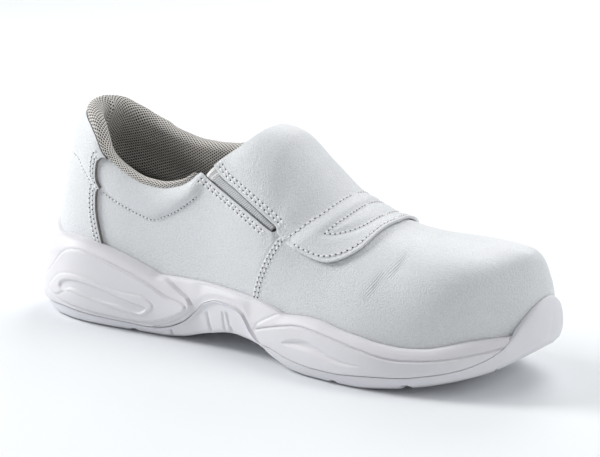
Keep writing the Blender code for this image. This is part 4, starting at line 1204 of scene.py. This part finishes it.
# name, place, width and power of each soft light, in metres and watts
STUDIO_LIGHTS = [
    ("key_left", (-1.2, -0.40, 0.80), 0.55, 16.0), ("top", (0.3, 0.6, 1.5), 1.2, 7.0),
    ("back", (-0.3, 1.3, 0.9), 0.9, 7.0), ("fill_right", (1.25, 0.40, 0.8), 0.9, 5.0),
]
LIGHT_AIM = (0, 0, 0.03)
SKY_STRENGTH = 0.37
# camera fitted to the photograph: yaw, rise and roll in degrees, target, distance in metres, lens and shift
CAMERA_TURN = (31.42, 14.62, 1.29)
CAMERA_TARGET = (150, 0, 55)
CAMERA_AWAY = 1.5
CAMERA_SENSOR, CAMERA_LENS = 36, 173.25
CAMERA_SHIFT = (0.00917, 0.01767)


def build_studio():
    bpy.ops.object.select_all(action="DESELECT")
    bpy.ops.mesh.primitive_plane_add(size=8, location=(0, 0, 0))
    floor = bpy.context.object
    floor.name = "studio_floor"
    material, tree, shader, place = new_material("pale_paper_backdrop", Specular_IOR_Level=0.2, Roughness=0.7)
    cloud = node(tree, "ShaderNodeTexNoise", {"Vector": place.outputs["Object"], "Scale": 2.0, "Detail": 2.0})
    tone = node(tree, "ShaderNodeMix",
                {"Factor": cloud.outputs["Fac"], 6: colour("#ECEFF1"), 7: colour("#F0F2F4")},
                data_type="RGBA")
    feed(tree, shader, {"Base Color": tone.outputs[2]})
    floor.data.materials.append(material)

    world = bpy.data.worlds.new("soft_studio")
    bpy.context.scene.world = world
    world.use_nodes = True
    feed(world.node_tree, world.node_tree.nodes["Background"],
         {"Color": colour("#FCFDFF"), "Strength": SKY_STRENGTH})
    bpy.context.scene.view_settings.view_transform = "Standard"

    for name, place, size, power in STUDIO_LIGHTS:
        data = bpy.data.lights.new(name, "AREA")
        data.shape, data.size, data.energy = "DISK", size, power
        light = bpy.data.objects.new(name, data)
        light.location = place
        light.rotation_euler = (Vector(LIGHT_AIM) - Vector(place)).to_track_quat("-Z", "Y").to_euler()
        bpy.context.scene.collection.objects.link(light)

    yaw, rise, roll = (math.radians(a) for a in CAMERA_TURN)
    right = np.array([math.cos(yaw), math.sin(yaw), 0])
    ahead = np.array([-math.sin(yaw) * math.cos(rise), math.cos(yaw) * math.cos(rise), -math.sin(rise)])
    up = np.cross(right, ahead)
    axis_x = math.cos(roll) * right + math.sin(roll) * up
    axis_y = -math.sin(roll) * right + math.cos(roll) * up
    target = metres(CAMERA_TARGET)
    data = bpy.data.cameras.new("camera")
    data.sensor_width, data.lens = CAMERA_SENSOR, CAMERA_LENS
    data.shift_x, data.shift_y = CAMERA_SHIFT
    camera = bpy.data.objects.new("camera", data)
    rows = np.stack([axis_x, axis_y, -ahead], axis=1)
    stand = Matrix.Translation(Vector(target - ahead * CAMERA_AWAY))
    camera.matrix_world = stand @ Matrix(rows.tolist()).to_4x4()
    bpy.context.scene.collection.objects.link(camera)
    bpy.context.scene.camera = camera


build_studio()
build_sole()
build_upper()
build_stitching()
